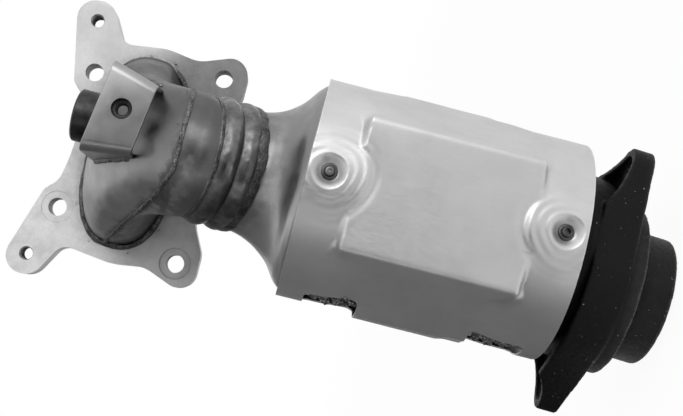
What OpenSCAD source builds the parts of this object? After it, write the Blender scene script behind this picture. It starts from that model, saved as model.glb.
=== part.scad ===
// Close-coupled catalytic converter, all lengths in millimetres.
// The origin is the middle of the inlet port on the mating face of the inlet flange.
// X runs across the flange, +Y points into the engine and +Z points up.
// The gas enters along -Y, turns down in the collector and leaves along -Z.

/* [Inlet flange] */
// thickness of the flange plate
flange_t = 14; // [12:0.5:16]
// distance of the upper stud holes from the middle
up_x = 42.5; // [41:0.5:44]
// height of the upper stud holes
up_z = 39.5; // [38.5:0.5:41]
// distance of the lower stud holes from the middle
low_x = 58.5; // [57:0.5:60]
// depth of the lower stud holes below the origin
low_z = 37.5; // [36.5:0.5:39]
// distance of the tapped holes from the middle
tap_x = 74; // [73:0.5:76]
// height of the tapped hole on the far side
tap_right_z = 46; // [45:0.5:48]
// height of the tapped hole on the near side
tap_left_z = 50; // [48:0.5:51]
// radius of the lobes around the stud holes
lobe_r = 13.3; // [12.8:0.1:13.6]
// radius of the lobes around the tapped holes
tap_lobe_r = 12.5; // [12.2:0.1:12.8]
// radius of the stud holes
stud_hole_r = 5.5; // [5:0.1:6]
// radius of the tapped holes
tap_hole_r = 4.2; // [3.4:0.1:5]
// depth of the spot face around each lower stud hole
spot_depth = 0.8; // [0.4:0.1:1.2]

/* [Collector] */
// half of the width of the collector at the flange
port_half_w = 56; // [54:0.5:57]
// half of the height of the collector at the flange
port_half_h = 26; // [25:0.5:27]
// height of the middle of the collector at the flange
port_z = 2.5; // [0:0.5:4]
// sheet thickness of the collector and the cones
wall = 2; // [1.5:0.1:2.5]
// outer radius of the collector where the neck begins
neck_r = 34.5; // [33.5:0.5:35.5]
// distance of the neck in front of the mating face
neck_y = 86.5; // [84:0.5:89]
// depth of the neck below the origin
neck_z = 41.5; // [40:0.5:44]
// lean of the neck back towards the engine, in degrees
neck_lean = 22; // [18:1:26]
// length of the ribbed neck tube
neck_l = 24; // [22:0.5:26]
// height of the ribs on the neck tube
rib_h = 1.8; // [1:0.1:2.4]

/* [Sensor boss] */
// outer radius of the sensor boss
boss_r = 15; // [14:0.5:16]
// bore radius of the sensor boss
boss_bore_r = 8.3; // [7:0.1:9]
// offset of the sensor boss from the middle
boss_x = 9; // [7:0.5:11]
// distance of the sensor boss in front of the mating face
boss_y = 61; // [59:0.5:63]
// height of the face of the sensor boss
boss_top = 33; // [31:0.5:35]

/* [Cover bracket] */
// width of the strap
strap_w = 26; // [24:0.5:28]
// thickness of the strap
strap_t = 2.5; // [2:0.1:3]
// distance of the strap face in front of the mating face
strap_y = 117; // [115:0.5:119]
// position of the lower leg across the flange
strap_low_x = 12; // [10:0.5:14]
// position of the upper leg across the flange
strap_high_x = 34; // [33:0.5:36]
// turn of the strap seen from the front, in degrees
strap_turn = 7; // [5:1:9]
// radius of the hole in the strap
strap_hole_r = 5.5; // [5:0.1:6]

/* [Converter body] */
// distance of the body axis in front of the mating face
axis_y = 70; // [68:0.5:72]
// outer radius of the can
can_r = 58; // [57:0.5:58.5]
// sheet thickness of the can
can_t = 1.5; // [1.2:0.1:1.8]
// depth of the top of the can below the origin
can_top = 104; // [103:0.5:104.5]
// length of the can
can_l = 142; // [141.5:0.5:143]
// thickness of the mat around the ceramic
mat_t = 3.5; // [3:0.1:4.5]
// length of the ceramic
brick_l = 102; // [96:1:106]

/* [Heat shield] */
// gap between the can and the round ends of the shield
shield_gap = 3.5; // [3.2:0.1:4.2]
// sheet thickness of the shield
shield_t = 0.8; // [0.6:0.1:0.9]
// overhang of the shield past each end of the can
shield_lip = 3; // [2.5:0.5:4]
// how far the flat front pad lies inside the round ends
pad_drop = 1.7; // [1.3:0.1:2.3]
// how far the slanting facets lie inside the round ends
facet_drop = 2.5; // [2.1:0.1:2.7]
// how far the side pads stand out of the round ends
side_rise = 1.3; // [0.7:0.1:1.7]
// radius of the dimples that hold the studs
dimple_r = 9.5; // [9:0.1:10]

/* [Outlet] */
// shift of the outlet flange to the side of the body axis
outlet_shift = 12.8; // [11:0.2:14]
// distance from the end of the can to the outlet flange
outlet_reach = 23; // [22:0.5:26]
// lean of the outlet, in degrees
outlet_lean = 2.8; // [2:0.2:4]
// turn of the line of the ears about the outlet, in degrees
ear_turn = 22; // [15:1:26]
// distance of the outlet stud holes from the outlet axis
ear_x = 68; // [67:0.5:69]
// radius of the ears
ear_r = 13; // [12.5:0.5:14]
// thickness of the outlet flange plate
ear_t = 10; // [9:0.5:11]
// radius of the holes in the ears
ear_hole_r = 5.75; // [5:0.25:6]
// radius of the middle of the flange plate
plate_r = 50; // [49:0.5:51]
// radius of the raised hub
hub_r = 48; // [47:0.5:48.5]
// height of the raised hub
hub_h = 8; // [6:0.5:9]
// outer radius of the spigot
spigot_r = 36.5; // [35.5:0.5:37]
// length of the spigot
spigot_l = 21; // [19:0.5:22]
// bore radius of the outlet
outlet_bore_r = 29; // [28:0.5:30]

/* [Hidden] */

// one overrun for every cut
cut = 1;
// turned parts are drawn with this many steps
turned_steps = 72;
small_steps = 24;
// steps around the bent sheets
ring_steps = 40;
corner_steps = 6;
// clearance between a stud and its hole
stud_clearance = 0.3;
// turn of each stud hole about its own axis, off the middle line of the sheet
stud_hole_turn = 20;
// turns of the planes of the collector's seam: nod about X and roll about Y
seam_nod_turn = 15.7;
seam_roll_turn = 15;
seam_depth = 24;
seam_front_turn = 5.7;
seam_front_drop = 5;
// larger than the whole part
space = 400;
weld_w = 5;
weld_h = 2.2;
boss_weld_w = 3;
seat_gap = 0.05;
tack_shares = [0.22, 0.50, 0.78];
tack_turn = 12;
tack_r = 3.2;
tack_h = 3;
tack_sink = 1;

brick_r = can_r - can_t - mat_t;
can_end = can_top + can_l;
brick_top = can_top + (can_l - brick_l) / 2;
outlet_z = can_end + outlet_reach;
outlet_cone_l = 8;
outlet_cone_drop = 10;
outlet_cone_r = can_r - outlet_cone_drop;
casting_top = can_end + outlet_cone_l;
cone_slope = (can_r - outlet_cone_r) / outlet_cone_l;
casting_wall = 6;
spot_r = 9.6;
cone_end_turn = 90;
neck_turn = 90 + neck_lean;
neck_end_y = neck_y - neck_l * sin(neck_lean);
neck_end_z = neck_z + neck_l * cos(neck_lean);
neck_end_r = neck_r - 0.25 * rib_h;
port_squareness = 2.6;
round_squareness = 2;
nut_r = 8;
nut_h = 6.5;
nut_bore_r = 3.4;
strap_bend_r = 4;
strap_mid_x = (strap_high_x - strap_low_x) / 2;
strap_leg_splay = 4;
strap_leg_end = 66;
boss_chamfer = 1;
stud_r = 2.5;
stud_h = 3.6;
washer_r = 4.2;
washer_t = 0.9;
spigot_chamfer = 1.5;
spigot_end = ear_t + hub_h + spigot_l;
skirt_h = 12;
back_hub_h = 11;
skirt_edge = 1.5;
skirt_wall = 5;
skirt_curve_r = 46;
casting_taper = 3;
casting_end_r = outlet_cone_r - casting_taper;
back_hub_step = 2.5;
back_hub_r = hub_r - back_hub_step;
crease_bead_h = 0.5;
fine_steps = 180;
can_weld_w = 3;

shield_r = can_r + shield_gap + shield_t;
shield_top = can_top - shield_lip;
shield_l = can_l + 2 * shield_lip;
pad_r = shield_r - pad_drop;
facet_r = shield_r - facet_drop;
side_r = shield_r + side_rise;
front_turn = -85.5;
rear_turn = front_turn + 180;
pad_shift = -2.2;
pad_top_share = 0.155;
pad_end_share = 0.80;
pad_edge_share = 0.03;
facet_turn = 62;
side_turn = 94;
edge_round = 36;
dimple_shares = [0.075, 0.925];
dimple_floor_r = 7;
dimple_depth = shield_r - can_r - shield_t - seat_gap;
notch_shares = [[0.10, 0.30], [0.72, 0.93]];
notch_depth = 24;
notch_rear_depth = 14;
notch_round = 5;
flap_gap_turn = 0.6;
front_steps = [34, 30];
rear_steps = [20, 24];

// Shares of the way from the flange to the neck:
// distance, fall, turn, narrowing, growth in height
collector_shares = [
    [0, 0, 0, 0, 0],
    [0.19, 0.02, 0.10, 0.14, -0.06],
    [0.42, 0.10, 0.29, 0.42, 0.06],
    [0.64, 0.26, 0.50, 0.70, 0.47],
    [0.83, 0.49, 0.70, 0.88, 0.82],
    [0.955, 0.74, 0.87, 0.955, 1],
    [1, 1, 1, 1, 1]];

// Shares of the way from the neck to the can: fall, shift, turn, growth
cone_shares = [
    [0, 0, 0, 0],
    [0.17, 0.20, 0.24, 0.03],
    [0.33, 0.40, 0.48, 0.12],
    [0.50, 0.60, 0.68, 0.27],
    [0.67, 0.80, 0.86, 0.52],
    [0.82, 0.95, 0.97, 0.85],
    [0.92, 1, 1, 1],
    [1, 1, 1, 1]];

// Corners of one half of the flange: place across, place in height, radius
function flange_half(tap_z) = [
    [0.55 * low_x, -low_z - 0.40 * lobe_r, 2 * lobe_r],
    [low_x - 0.70 * lobe_r, -low_z - 1.05 * lobe_r, lobe_r],
    [low_x + 0.65 * lobe_r, -low_z - 1.05 * lobe_r, 0.8 * lobe_r],
    [low_x + 1.13 * lobe_r, -low_z - 0.35 * lobe_r, 0.75 * lobe_r],
    [low_x + 0.48 * lobe_r, -0.53 * low_z, 1.5 * lobe_r],
    [1.16 * low_x, 0, 2.5 * lobe_r],
    [tap_x - 0.80 * tap_lobe_r, tap_z - 1.53 * tap_lobe_r, 0.65 * tap_lobe_r],
    [tap_x + tap_lobe_r, tap_z - 0.54 * tap_lobe_r, 0.9 * tap_lobe_r],
    [tap_x + tap_lobe_r, tap_z + 1.26 * tap_lobe_r, 0.9 * tap_lobe_r],
    [up_x - 0.64 * lobe_r, up_z + 0.80 * lobe_r, 0.5 * lobe_r],
    [up_x - 1.20 * lobe_r, up_z + 0.25 * lobe_r, lobe_r]];
flange_top_corner = [[0, up_z - 0.1 * lobe_r, 8 * lobe_r]];
flange_low_corner = [[0, -low_z - 0.2 * lobe_r, 3 * lobe_r]];

function unit(v) = v / norm(v);
function flat(v) = [v[0], v[1]];
function turn_of(v) = atan2(v[1], v[0]);
function short_turn(a) = a > 180 ? a - 360 : a < -180 ? a + 360 : a;
function mirrored(list) =
    [for (i = [len(list) - 1:-1:0]) [-list[i][0], list[i][1], list[i][2]]];

// Arc that rounds one corner of an outline
function corner_arc(before, at, after, r) =
    let (u = unit(before - at), v = unit(after - at), half = acos(u * v) / 2,
        middle = at + unit(u + v) * r / sin(half),
        first = turn_of(at + u * r / tan(half) - middle),
        sweep = short_turn(turn_of(at + v * r / tan(half) - middle) - first))
    [for (i = [0:corner_steps])
        middle + r * [cos(first + sweep * i / corner_steps), sin(first + sweep * i / corner_steps)]];

function rounded(corners) =
    let (n = len(corners))
    [for (i = [0:n - 1])
        each corner_arc(flat(corners[(i + n - 1) % n]), flat(corners[i]),
            flat(corners[(i + 1) % n]), corners[i][2])];

// Smooth value between the rows of a table
function smooth_row(a, b, c, d, t) =
    b + 0.5 * t * (c - a + t * (2 * a - 5 * b + 4 * c - d + t * (3 * (b - c) + d - a)));
function smooth_rows(rows, steps) =
    let (last = len(rows) - 1)
    [for (i = [0:last - 1]) for (s = [0:steps - 1])
        smooth_row(rows[max(i - 1, 0)], rows[i], rows[i + 1], rows[min(i + 2, last)], s / steps),
     rows[last]];

// One ring of points: place, turn of the flow, half width, half height, squareness
function signed_power(v, p) = sign(v) * pow(abs(v), p);
function ring(x, y, z, turn, half_w, half_h, square) =
    [for (i = [0:ring_steps - 1])
        let (a = 360 * i / ring_steps,
            across = half_w * signed_power(cos(a), 2 / square),
            up = half_h * signed_power(sin(a), 2 / square))
        [x + across, y - up * sin(turn), z + up * cos(turn)]];

function collector_rings(grow) =
    [for (s = smooth_rows(collector_shares, 3))
        ring(0,
            -flange_t - s[0] * (neck_y - flange_t),
            port_z - s[1] * (neck_z + port_z),
            s[2] * neck_turn,
            port_half_w + s[3] * (neck_r - port_half_w) + grow,
            port_half_h + s[4] * (neck_r - port_half_h) + grow,
            port_squareness + s[3] * (round_squareness - port_squareness))];

function cone_rings(grow) =
    [for (s = smooth_rows(cone_shares, 2))
        ring(0,
            -neck_end_y + s[1] * (neck_end_y - axis_y),
            -neck_end_z - s[0] * (can_top - neck_end_z),
            neck_turn + s[2] * (cone_end_turn - neck_turn),
            neck_end_r + min(s[3], 1) * (can_r - neck_end_r) + grow,
            neck_end_r + min(s[3], 1) * (can_r - neck_end_r) + grow,
            round_squareness)];

// Closed skin between two stacks of rings, the second one inside the first
function quad(a, b, c, d) = [[a, b, c], [a, c, d]];
module tube_skin(outer, inner) {
    n = len(outer[0]);
    m = len(outer);
    far = n * m;
    faces = [
        for (j = [0:m - 2]) for (i = [0:n - 1])
            let (k = (i + 1) % n) each quad(j * n + i, (j + 1) * n + i, (j + 1) * n + k, j * n + k),
        for (j = [0:m - 2]) for (i = [0:n - 1])
            let (k = (i + 1) % n) each quad(far + j * n + k, far + (j + 1) * n + k,
                far + (j + 1) * n + i, far + j * n + i),
        for (i = [0:n - 1]) let (k = (i + 1) % n) each quad(i, k, far + k, far + i),
        for (i = [0:n - 1]) let (k = (i + 1) % n, e = (m - 1) * n)
            each quad(e + k, e + i, far + e + i, far + e + k)];
    polyhedron([for (r = outer) each r, for (r = inner) each r], faces, convexity = 8);
}

// Filled body through a stack of rings
module solid_skin(rings) {
    n = len(rings[0]);
    m = len(rings);
    faces = [
        for (j = [0:m - 2]) for (i = [0:n - 1])
            let (k = (i + 1) % n) each quad(j * n + i, (j + 1) * n + i, (j + 1) * n + k, j * n + k),
        [for (i = [0:n - 1]) i],
        [for (i = [n - 1:-1:0]) (m - 1) * n + i]];
    polyhedron([for (r = rings) each r], faces, convexity = 8);
}

module collector_skin() {
    tube_skin(collector_rings(0), collector_rings(-wall));
}

module collector_solid(grow) {
    solid_skin(collector_rings(grow));
}

// Places
module seen_from_front() {
    rotate([90, 0, 0]) children();
}

module on_body_axis() {
    translate([0, -axis_y, 0]) children();
}

module on_neck_start() {
    translate([0, -neck_y, -neck_z]) rotate([neck_lean, 0, 0]) mirror([0, 0, 1]) children();
}

module on_outlet() {
    translate([-outlet_shift, -axis_y, -outlet_z]) rotate([0, outlet_lean, 0])
        rotate([180, 0, 0]) children();
}

module on_ears() {
    on_outlet() rotate([0, 0, ear_turn]) children();
}

module on_both_sides() {
    children();
    mirror([1, 0, 0]) children();
}

// The space on the dome side of the seam, which follows two planes
module above_plane(nod, roll, shift) {
    translate([0, -axis_y, -seam_depth]) rotate([nod, roll, 0])
        translate([-space / 2, -space / 2, shift]) cube(space);
}

module dome_side(shift) {
    intersection() {
        above_plane(seam_nod_turn, seam_roll_turn, shift);
        above_plane(seam_front_turn, 0, shift - seam_front_drop);
    }
}

module seam_slab() {
    difference() {
        dome_side(-weld_w / 2);
        dome_side(weld_w / 2);
    }
}

// Inlet flange
module flange_outline() {
    polygon(rounded(concat(flange_low_corner, flange_half(tap_right_z), flange_top_corner,
        mirrored(flange_half(tap_left_z)))));
}

module port_outline() {
    polygon([for (p = ring(0, 0, port_z, 0, port_half_w - wall, port_half_h - wall, port_squareness))
        [p[0], p[2]]]);
}

module stud_holes() {
    on_both_sides() translate([up_x, up_z, -cut]) cylinder(r = stud_hole_r, h = flange_t + 2 * cut);
    on_both_sides() translate([low_x, -low_z, -cut]) cylinder(r = stud_hole_r, h = flange_t + 2 * cut);
    for (place = [[tap_x, tap_right_z], [-tap_x, tap_left_z]])
        translate([place[0], place[1], -cut]) cylinder(r = tap_hole_r, h = flange_t + 2 * cut);
    on_both_sides() translate([low_x, -low_z, flange_t - spot_depth])
        cylinder(r = spot_r, h = spot_depth + cut);
}

module inlet_flange() {
    color("silver") seen_from_front() difference() {
        linear_extrude(flange_t) flange_outline();
        translate([0, 0, -cut]) linear_extrude(flange_t + 2 * cut) port_outline();
        stud_holes($fn = turned_steps);
    }
}

// Collector
module sensor_bore() {
    translate([boss_x, -boss_y, 0]) cylinder(r = boss_bore_r, h = boss_top + cut, $fn = turned_steps);
}

module collector_dome() {
    color("dimgray") difference() {
        intersection() {
            collector_skin();
            dome_side(0);
        }
        sensor_bore();
    }
}

module collector_elbow() {
    color("dimgray") difference() {
        collector_skin();
        dome_side(0);
    }
}

module flange_weld() {
    color("gray") difference() {
        intersection() {
            collector_solid(weld_w - weld_h);
            translate([-space / 2, -flange_t - weld_h, -space / 2]) cube([space, weld_h, space]);
        }
        collector_solid(0);
    }
}

module collector_seam_weld() {
    color("gray") difference() {
        intersection() {
            collector_solid(weld_h);
            seam_slab();
            translate([-space / 2, -flange_t - weld_h - space, -neck_z + weld_w])
                cube(space);
        }
        collector_solid(0);
    }
}

// Sensor boss
module boss_body() {
    translate([boss_x, -boss_y, 0]) {
        cylinder(r = boss_r, h = boss_top - boss_chamfer);
        translate([0, 0, boss_top - boss_chamfer])
            cylinder(r1 = boss_r, r2 = boss_r - boss_chamfer, h = boss_chamfer);
    }
}

module sensor_boss() {
    color("darkslategray") difference() {
        boss_body($fn = turned_steps);
        sensor_bore();
        collector_solid(0);
    }
}

module sensor_boss_weld() {
    color("gray") difference() {
        intersection() {
            collector_solid(weld_h);
            translate([boss_x, -boss_y, 0]) cylinder(r = boss_r + boss_weld_w, h = boss_top, $fn = ring_steps);
        }
        collector_solid(0);
        translate([boss_x, -boss_y, -cut]) cylinder(r = boss_r, h = boss_top + 2 * cut, $fn = turned_steps);
    }
}

// Cover bracket: a bent strap that stands over the dome
module strap_outline() {
    polygon(rounded([
        [-strap_low_x, -strap_leg_end, strap_t / 4],
        [-strap_low_x, -strap_y, strap_bend_r],
        [strap_high_x, -strap_y, strap_bend_r],
        [strap_high_x + strap_leg_splay, -strap_leg_end, strap_t / 4],
        [strap_high_x + strap_leg_splay - strap_t, -strap_leg_end, strap_t / 4],
        [strap_high_x - strap_t, -strap_y + strap_t, strap_bend_r - strap_t],
        [-strap_low_x + strap_t, -strap_y + strap_t, strap_bend_r - strap_t],
        [-strap_low_x + strap_t, -strap_leg_end, strap_t / 4]]));
}

module turned_strap() {
    translate([strap_mid_x, 0, 0]) rotate([0, strap_turn, 0]) translate([-strap_mid_x, 0, 0]) children();
}

module on_strap_hole() {
    turned_strap() translate([strap_mid_x, -strap_y, 0]) rotate([-90, 0, 0]) children();
}

module cover_bracket() {
    color("lightgray") difference() {
        turned_strap() translate([0, 0, -strap_w / 2]) linear_extrude(strap_w) strap_outline();
        on_strap_hole() translate([0, 0, -cut])
            cylinder(r = strap_hole_r, h = strap_t + 2 * cut, $fn = turned_steps);
        collector_solid(0);
    }
}

module bracket_nut() {
    color("dimgray") on_strap_hole() translate([0, 0, strap_t]) difference() {
        cylinder(r = nut_r, h = nut_h, $fn = 6);
        translate([0, 0, -cut]) cylinder(r = nut_bore_r, h = nut_h + 2 * cut, $fn = turned_steps);
    }
}

module bracket_welds() {
    color("gray") difference() {
        intersection() {
            collector_solid(weld_h);
            turned_strap() union() {
                translate([-strap_low_x - boss_weld_w, -strap_y, -0.4 * strap_w])
                    cube([boss_weld_w, strap_y, 0.8 * strap_w]);
                translate([strap_high_x, -strap_y, -0.4 * strap_w])
                    cube([strap_leg_splay + boss_weld_w, strap_y, 0.8 * strap_w]);
            }
        }
        collector_solid(0);
        turned_strap() translate([0, 0, -strap_w / 2]) linear_extrude(strap_w) strap_outline();
    }
}

// Neck
rib_shares = [[0, -0.2], [0.08, 0.25], [0.2, 0.8], [0.32, 0.95], [0.44, 0.6], [0.52, 0.25],
    [0.6, 0.35], [0.72, 0.85], [0.84, 0.9], [0.94, 0.4], [1, -0.25]];
module neck_tube() {
    color("gray") on_neck_start() rotate_extrude($fn = turned_steps) polygon(concat(
        [for (s = rib_shares) [neck_r + s[1] * rib_h, s[0] * neck_l]],
        [[neck_end_r - wall, neck_l], [neck_r - wall, 0]]));
}

// Bead in the crease between the elbow and the neck tube
module elbow_neck_weld() {
    first = rib_shares[0];
    next = rib_shares[1];
    color("gray") on_neck_start() rotate_extrude($fn = turned_steps) polygon([
        [neck_r + first[1] * rib_h, 0],
        [neck_r + crease_bead_h, 0],
        [neck_r + crease_bead_h + next[1] * rib_h, 0.6 * next[0] * neck_l],
        [neck_r + next[1] * rib_h, next[0] * neck_l]]);
}

// Bead around the end of the neck tube, against the cone
module neck_cone_weld() {
    last = rib_shares[len(rib_shares) - 1];
    before = rib_shares[len(rib_shares) - 2];
    color("gray") on_neck_start() rotate_extrude($fn = turned_steps) polygon([
        [neck_r + before[1] * rib_h, before[0] * neck_l],
        [neck_r + last[1] * rib_h, neck_l],
        [neck_r + last[1] * rib_h + 0.8 * weld_h, neck_l],
        [neck_r + before[1] * rib_h + 0.5 * weld_h, neck_l - 0.2 * weld_w],
        [neck_r + before[1] * rib_h + 0.4 * weld_h, neck_l - 0.3 * weld_w]]);
}

// Converter body
module inlet_cone() {
    color("gray") tube_skin(cone_rings(0), cone_rings(-wall));
}

module tube(r, thick, top, length) {
    on_body_axis() translate([0, 0, -top - length]) rotate_extrude($fn = turned_steps)
        translate([r - thick, 0]) square([thick, length]);
}

module converter_can() {
    color("silver") tube(can_r, can_t, can_top, can_l);
}

module support_mat() {
    color("tan") tube(can_r - can_t, mat_t, brick_top, brick_l);
}

module ceramic_brick() {
    color("wheat") on_body_axis() translate([0, 0, -brick_top - brick_l])
        cylinder(r = brick_r, h = brick_l, $fn = turned_steps);
}

module body_bead(z) {
    on_body_axis() translate([0, 0, -z]) rotate_extrude($fn = turned_steps)
        translate([can_r, -can_weld_w / 2]) square([weld_h / 2, can_weld_w]);
}

module inlet_can_weld() {
    color("gray") body_bead(can_top);
}

module outlet_cone() {
    color("gray") on_body_axis() rotate_extrude($fn = turned_steps) polygon([
        [can_r, -can_end], [can_r - wall, -can_end],
        [outlet_cone_r - wall, -casting_top], [outlet_cone_r, -casting_top]]);
}

module outlet_can_weld() {
    color("gray") body_bead(can_end);
}

// Outlet casting
function arc(middle, r, first, last, steps) =
    [for (i = [0:steps]) let (a = first + (last - first) * i / steps) [middle + r * cos(a), r * sin(a)]];

module ear_outline(shrink) {
    meet = acos((plate_r - ear_r) / ear_x);
    polygon(concat(
        arc(ear_x, ear_r - shrink, -meet, meet, small_steps),
        arc(0, plate_r - shrink, meet, 180 - meet, small_steps),
        arc(-ear_x, ear_r - shrink, 180 - meet, 180 + meet, small_steps),
        arc(0, plate_r - shrink, 180 + meet, 360 - meet, small_steps)));
}

// Turned core of the casting: neck, hubs and spigot
module casting_core() {
    on_body_axis() translate([0, 0, -outlet_z])
        cylinder(r1 = casting_end_r, r2 = outlet_cone_r, h = outlet_z - casting_top);
    on_outlet() {
        translate([0, 0, -back_hub_h]) cylinder(r = back_hub_r, h = back_hub_h + cut);
        cylinder(r = hub_r, h = ear_t + hub_h);
        cylinder(r = spigot_r, h = spigot_end - spigot_chamfer);
        translate([0, 0, spigot_end - spigot_chamfer])
            cylinder(r1 = spigot_r, r2 = spigot_r - spigot_chamfer, h = spigot_chamfer);
    }
}

module casting_bore() {
    on_body_axis() translate([0, 0, -outlet_z])
        cylinder(r1 = casting_end_r - casting_wall, r2 = outlet_cone_r - casting_wall, h = outlet_z - casting_top + cut);
    on_outlet() translate([0, 0, -cut]) cylinder(r = outlet_bore_r, h = spigot_end + 2 * cut);
}

// Walls behind the ears that run up to the neck
module skirt() {
    on_ears() difference() {
        translate([0, 0, -skirt_h]) linear_extrude(skirt_h + cut) ear_outline(0);
        translate([0, 0, -skirt_h - cut]) linear_extrude(skirt_h + cut) ear_outline(skirt_wall);
        for (side = [0, 180]) rotate(side)
            translate([ear_x + ear_r, 0, -skirt_curve_r - skirt_edge]) rotate([90, 0, 0])
                cylinder(r = skirt_curve_r, h = space, center = true);
        translate([0, 0, -skirt_h - cut]) cylinder(r = back_hub_r - cut, h = skirt_h + 2 * cut);
    }
}

module outlet_casting() {
    color([0.12, 0.12, 0.13]) difference() {
        union() {
            on_ears() linear_extrude(ear_t) ear_outline(0);
            casting_core($fn = turned_steps);
            skirt($fn = turned_steps);
        }
        casting_bore($fn = turned_steps);
        on_ears() for (side = [-1, 1]) translate([side * ear_x, 0, -skirt_h])
            cylinder(r = ear_hole_r, h = skirt_h + ear_t + cut, $fn = turned_steps);
    }
}

module casting_weld() {
    color("gray") on_body_axis() translate([0, 0, -casting_top]) rotate_extrude($fn = turned_steps)
        polygon([[outlet_cone_r, 0], [outlet_cone_r + weld_h * cone_slope, weld_h],
            [outlet_cone_r + weld_h * cone_slope, 0]]);
}

// Heat shield: its outline is given by a distance for each height and turn
function ease(t) = let (s = min(max(t, 0), 1)) s * s * (3 - 2 * s);
function plateau(s, first, last) =
    ease((s - first) / pad_edge_share) * ease((last - s) / pad_edge_share);
function facing(a, at) = max(cos(a - at), 0.02);
function plane_part(a, at, r) = pow(facing(a, at) / r, edge_round);
function pad_outline(a) =
    pow(plane_part(a, pad_shift, pad_r)
        + plane_part(a, pad_shift + facet_turn, facet_r) + plane_part(a, pad_shift - facet_turn, facet_r)
        + plane_part(a, side_turn, side_r) + plane_part(a, -side_turn, side_r), -1 / edge_round);
function dimple(s, a) =
    let (far = min([for (d = dimple_shares) norm([(s - d) * shield_l, shield_r * a * PI / 180])]))
    ease((dimple_r - far) / (dimple_r - dimple_floor_r));
function shield_radius(s, a) =
    let (p = plateau(s, pad_top_share, pad_end_share))
    shield_r + p * (pad_outline(a) - shield_r) - dimple(s, a) * dimple_depth;
// The steps are closer at the ends and in the middle, where the dimples are
function step_share(t) = 0.5 * t + 0.25 * (1 - cos(180 * t));
function turn_share(t) = let (v = 2 * t - 1) 0.5 * v + 0.5 * v * v * v;

module shield_sheet(front, steps_s, steps_a) {
    n = steps_a + 1;
    m = steps_s + 1;
    far = n * m;
    points = [for (thick = [0, shield_t]) for (j = [0:steps_s]) for (i = [0:steps_a])
        let (s = step_share(j / steps_s),
            a = (90 - flap_gap_turn) * turn_share(i / steps_a),
            r = shield_radius(s, a) - thick)
        [r * cos(a + front), r * sin(a + front), -shield_top - s * shield_l]];
    faces = [
        for (j = [0:steps_s - 1]) for (i = [0:steps_a - 1])
            each quad(j * n + i, (j + 1) * n + i, (j + 1) * n + i + 1, j * n + i + 1),
        for (j = [0:steps_s - 1]) for (i = [0:steps_a - 1])
            each quad(far + j * n + i + 1, far + (j + 1) * n + i + 1, far + (j + 1) * n + i, far + j * n + i),
        for (i = [0:steps_a - 1]) each quad(i, i + 1, far + i + 1, far + i),
        for (i = [0:steps_a - 1]) let (e = (m - 1) * n)
            each quad(e + i + 1, e + i, far + e + i, far + e + i + 1),
        for (j = [0:steps_s - 1]) each quad((j + 1) * n, j * n, far + j * n, far + (j + 1) * n),
        for (j = [0:steps_s - 1]) let (e = n - 1)
            each quad(e + j * n, e + (j + 1) * n, far + e + (j + 1) * n, far + e + j * n)];
    on_body_axis() polyhedron(points, faces, convexity = 8);
}

module on_dimples(turn) {
    for (d = dimple_shares) on_body_axis() translate([0, 0, -shield_top - d * shield_l])
        rotate([0, 0, turn]) rotate([0, 90, 0]) children();
}

// Rounded windows across the lower seam of the two halves
module edge_notches() {
    for (notch = notch_shares)
        on_body_axis() translate([0, 0, -shield_top - notch[1] * shield_l]) rotate([90, 0, -90])
            linear_extrude(space) polygon(rounded([
                [-notch_rear_depth, 0, notch_round],
                [notch_depth, 0, notch_round],
                [notch_depth, (notch[1] - notch[0]) * shield_l, notch_round],
                [-notch_rear_depth, (notch[1] - notch[0]) * shield_l, notch_round]]));
}

module shield_front() {
    color("lightgray") difference() {
        shield_sheet(front_turn, front_steps[0], front_steps[1]);
        edge_notches();
        on_dimples(front_turn) rotate([0, 0, stud_hole_turn])
            cylinder(r = stud_r + stud_clearance, h = space, $fn = small_steps);
    }
}

module shield_rear() {
    color("lightgray") difference() {
        shield_sheet(rear_turn, rear_steps[0], rear_steps[1]);
        edge_notches();
        on_dimples(rear_turn) rotate([0, 0, stud_hole_turn])
            cylinder(r = stud_r + stud_clearance, h = space, $fn = small_steps);
    }
}

module shield_studs() {
    color("gray") difference() {
        for (turn = [front_turn, rear_turn]) on_dimples(turn) translate([0, 0, can_r - can_t])
            cylinder(r = stud_r, h = can_t + stud_h, $fn = turned_steps);
        on_body_axis() translate([0, 0, -can_end - cut]) cylinder(r = can_r, h = can_l + 2 * cut, $fn = fine_steps);
    }
}

module shield_washers() {
    color("dimgray") for (turn = [front_turn, rear_turn]) on_dimples(turn)
        translate([0, 0, can_r + shield_t + 2 * seat_gap]) difference() {
            cylinder(r = washer_r, h = washer_t, $fn = turned_steps);
            translate([0, 0, -cut]) cylinder(r = stud_r, h = washer_t + 2 * cut, $fn = turned_steps);
        }
}

// Short runs of weld on the can in the windows of the shield
module shield_tack_welds() {
    color("dimgray") difference() {
        for (notch = notch_shares) for (share = tack_shares)
            on_body_axis() translate([0, 0, -shield_top - (notch[0] + share * (notch[1] - notch[0])) * shield_l])
                rotate([0, 0, front_turn - 90 + tack_turn]) translate([can_r - tack_sink, 0, 0])
                    rotate([0, 90, 0]) cylinder(r1 = tack_r, r2 = 0.6 * tack_r, h = tack_sink + tack_h, $fn = 24);
        on_body_axis() translate([0, 0, -can_end - cut]) cylinder(r = can_r, h = can_l + 2 * cut, $fn = fine_steps);
    }
}

inlet_flange();
collector_dome();
collector_elbow();
flange_weld();
collector_seam_weld();
sensor_boss();
sensor_boss_weld();
cover_bracket();
bracket_nut();
bracket_welds();
neck_tube();
elbow_neck_weld();
neck_cone_weld();
inlet_cone();
inlet_can_weld();
converter_can();
support_mat();
ceramic_brick();
outlet_cone();
outlet_can_weld();
outlet_casting();
casting_weld();
shield_front();
shield_rear();
shield_studs();
shield_washers();
shield_tack_welds();
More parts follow.
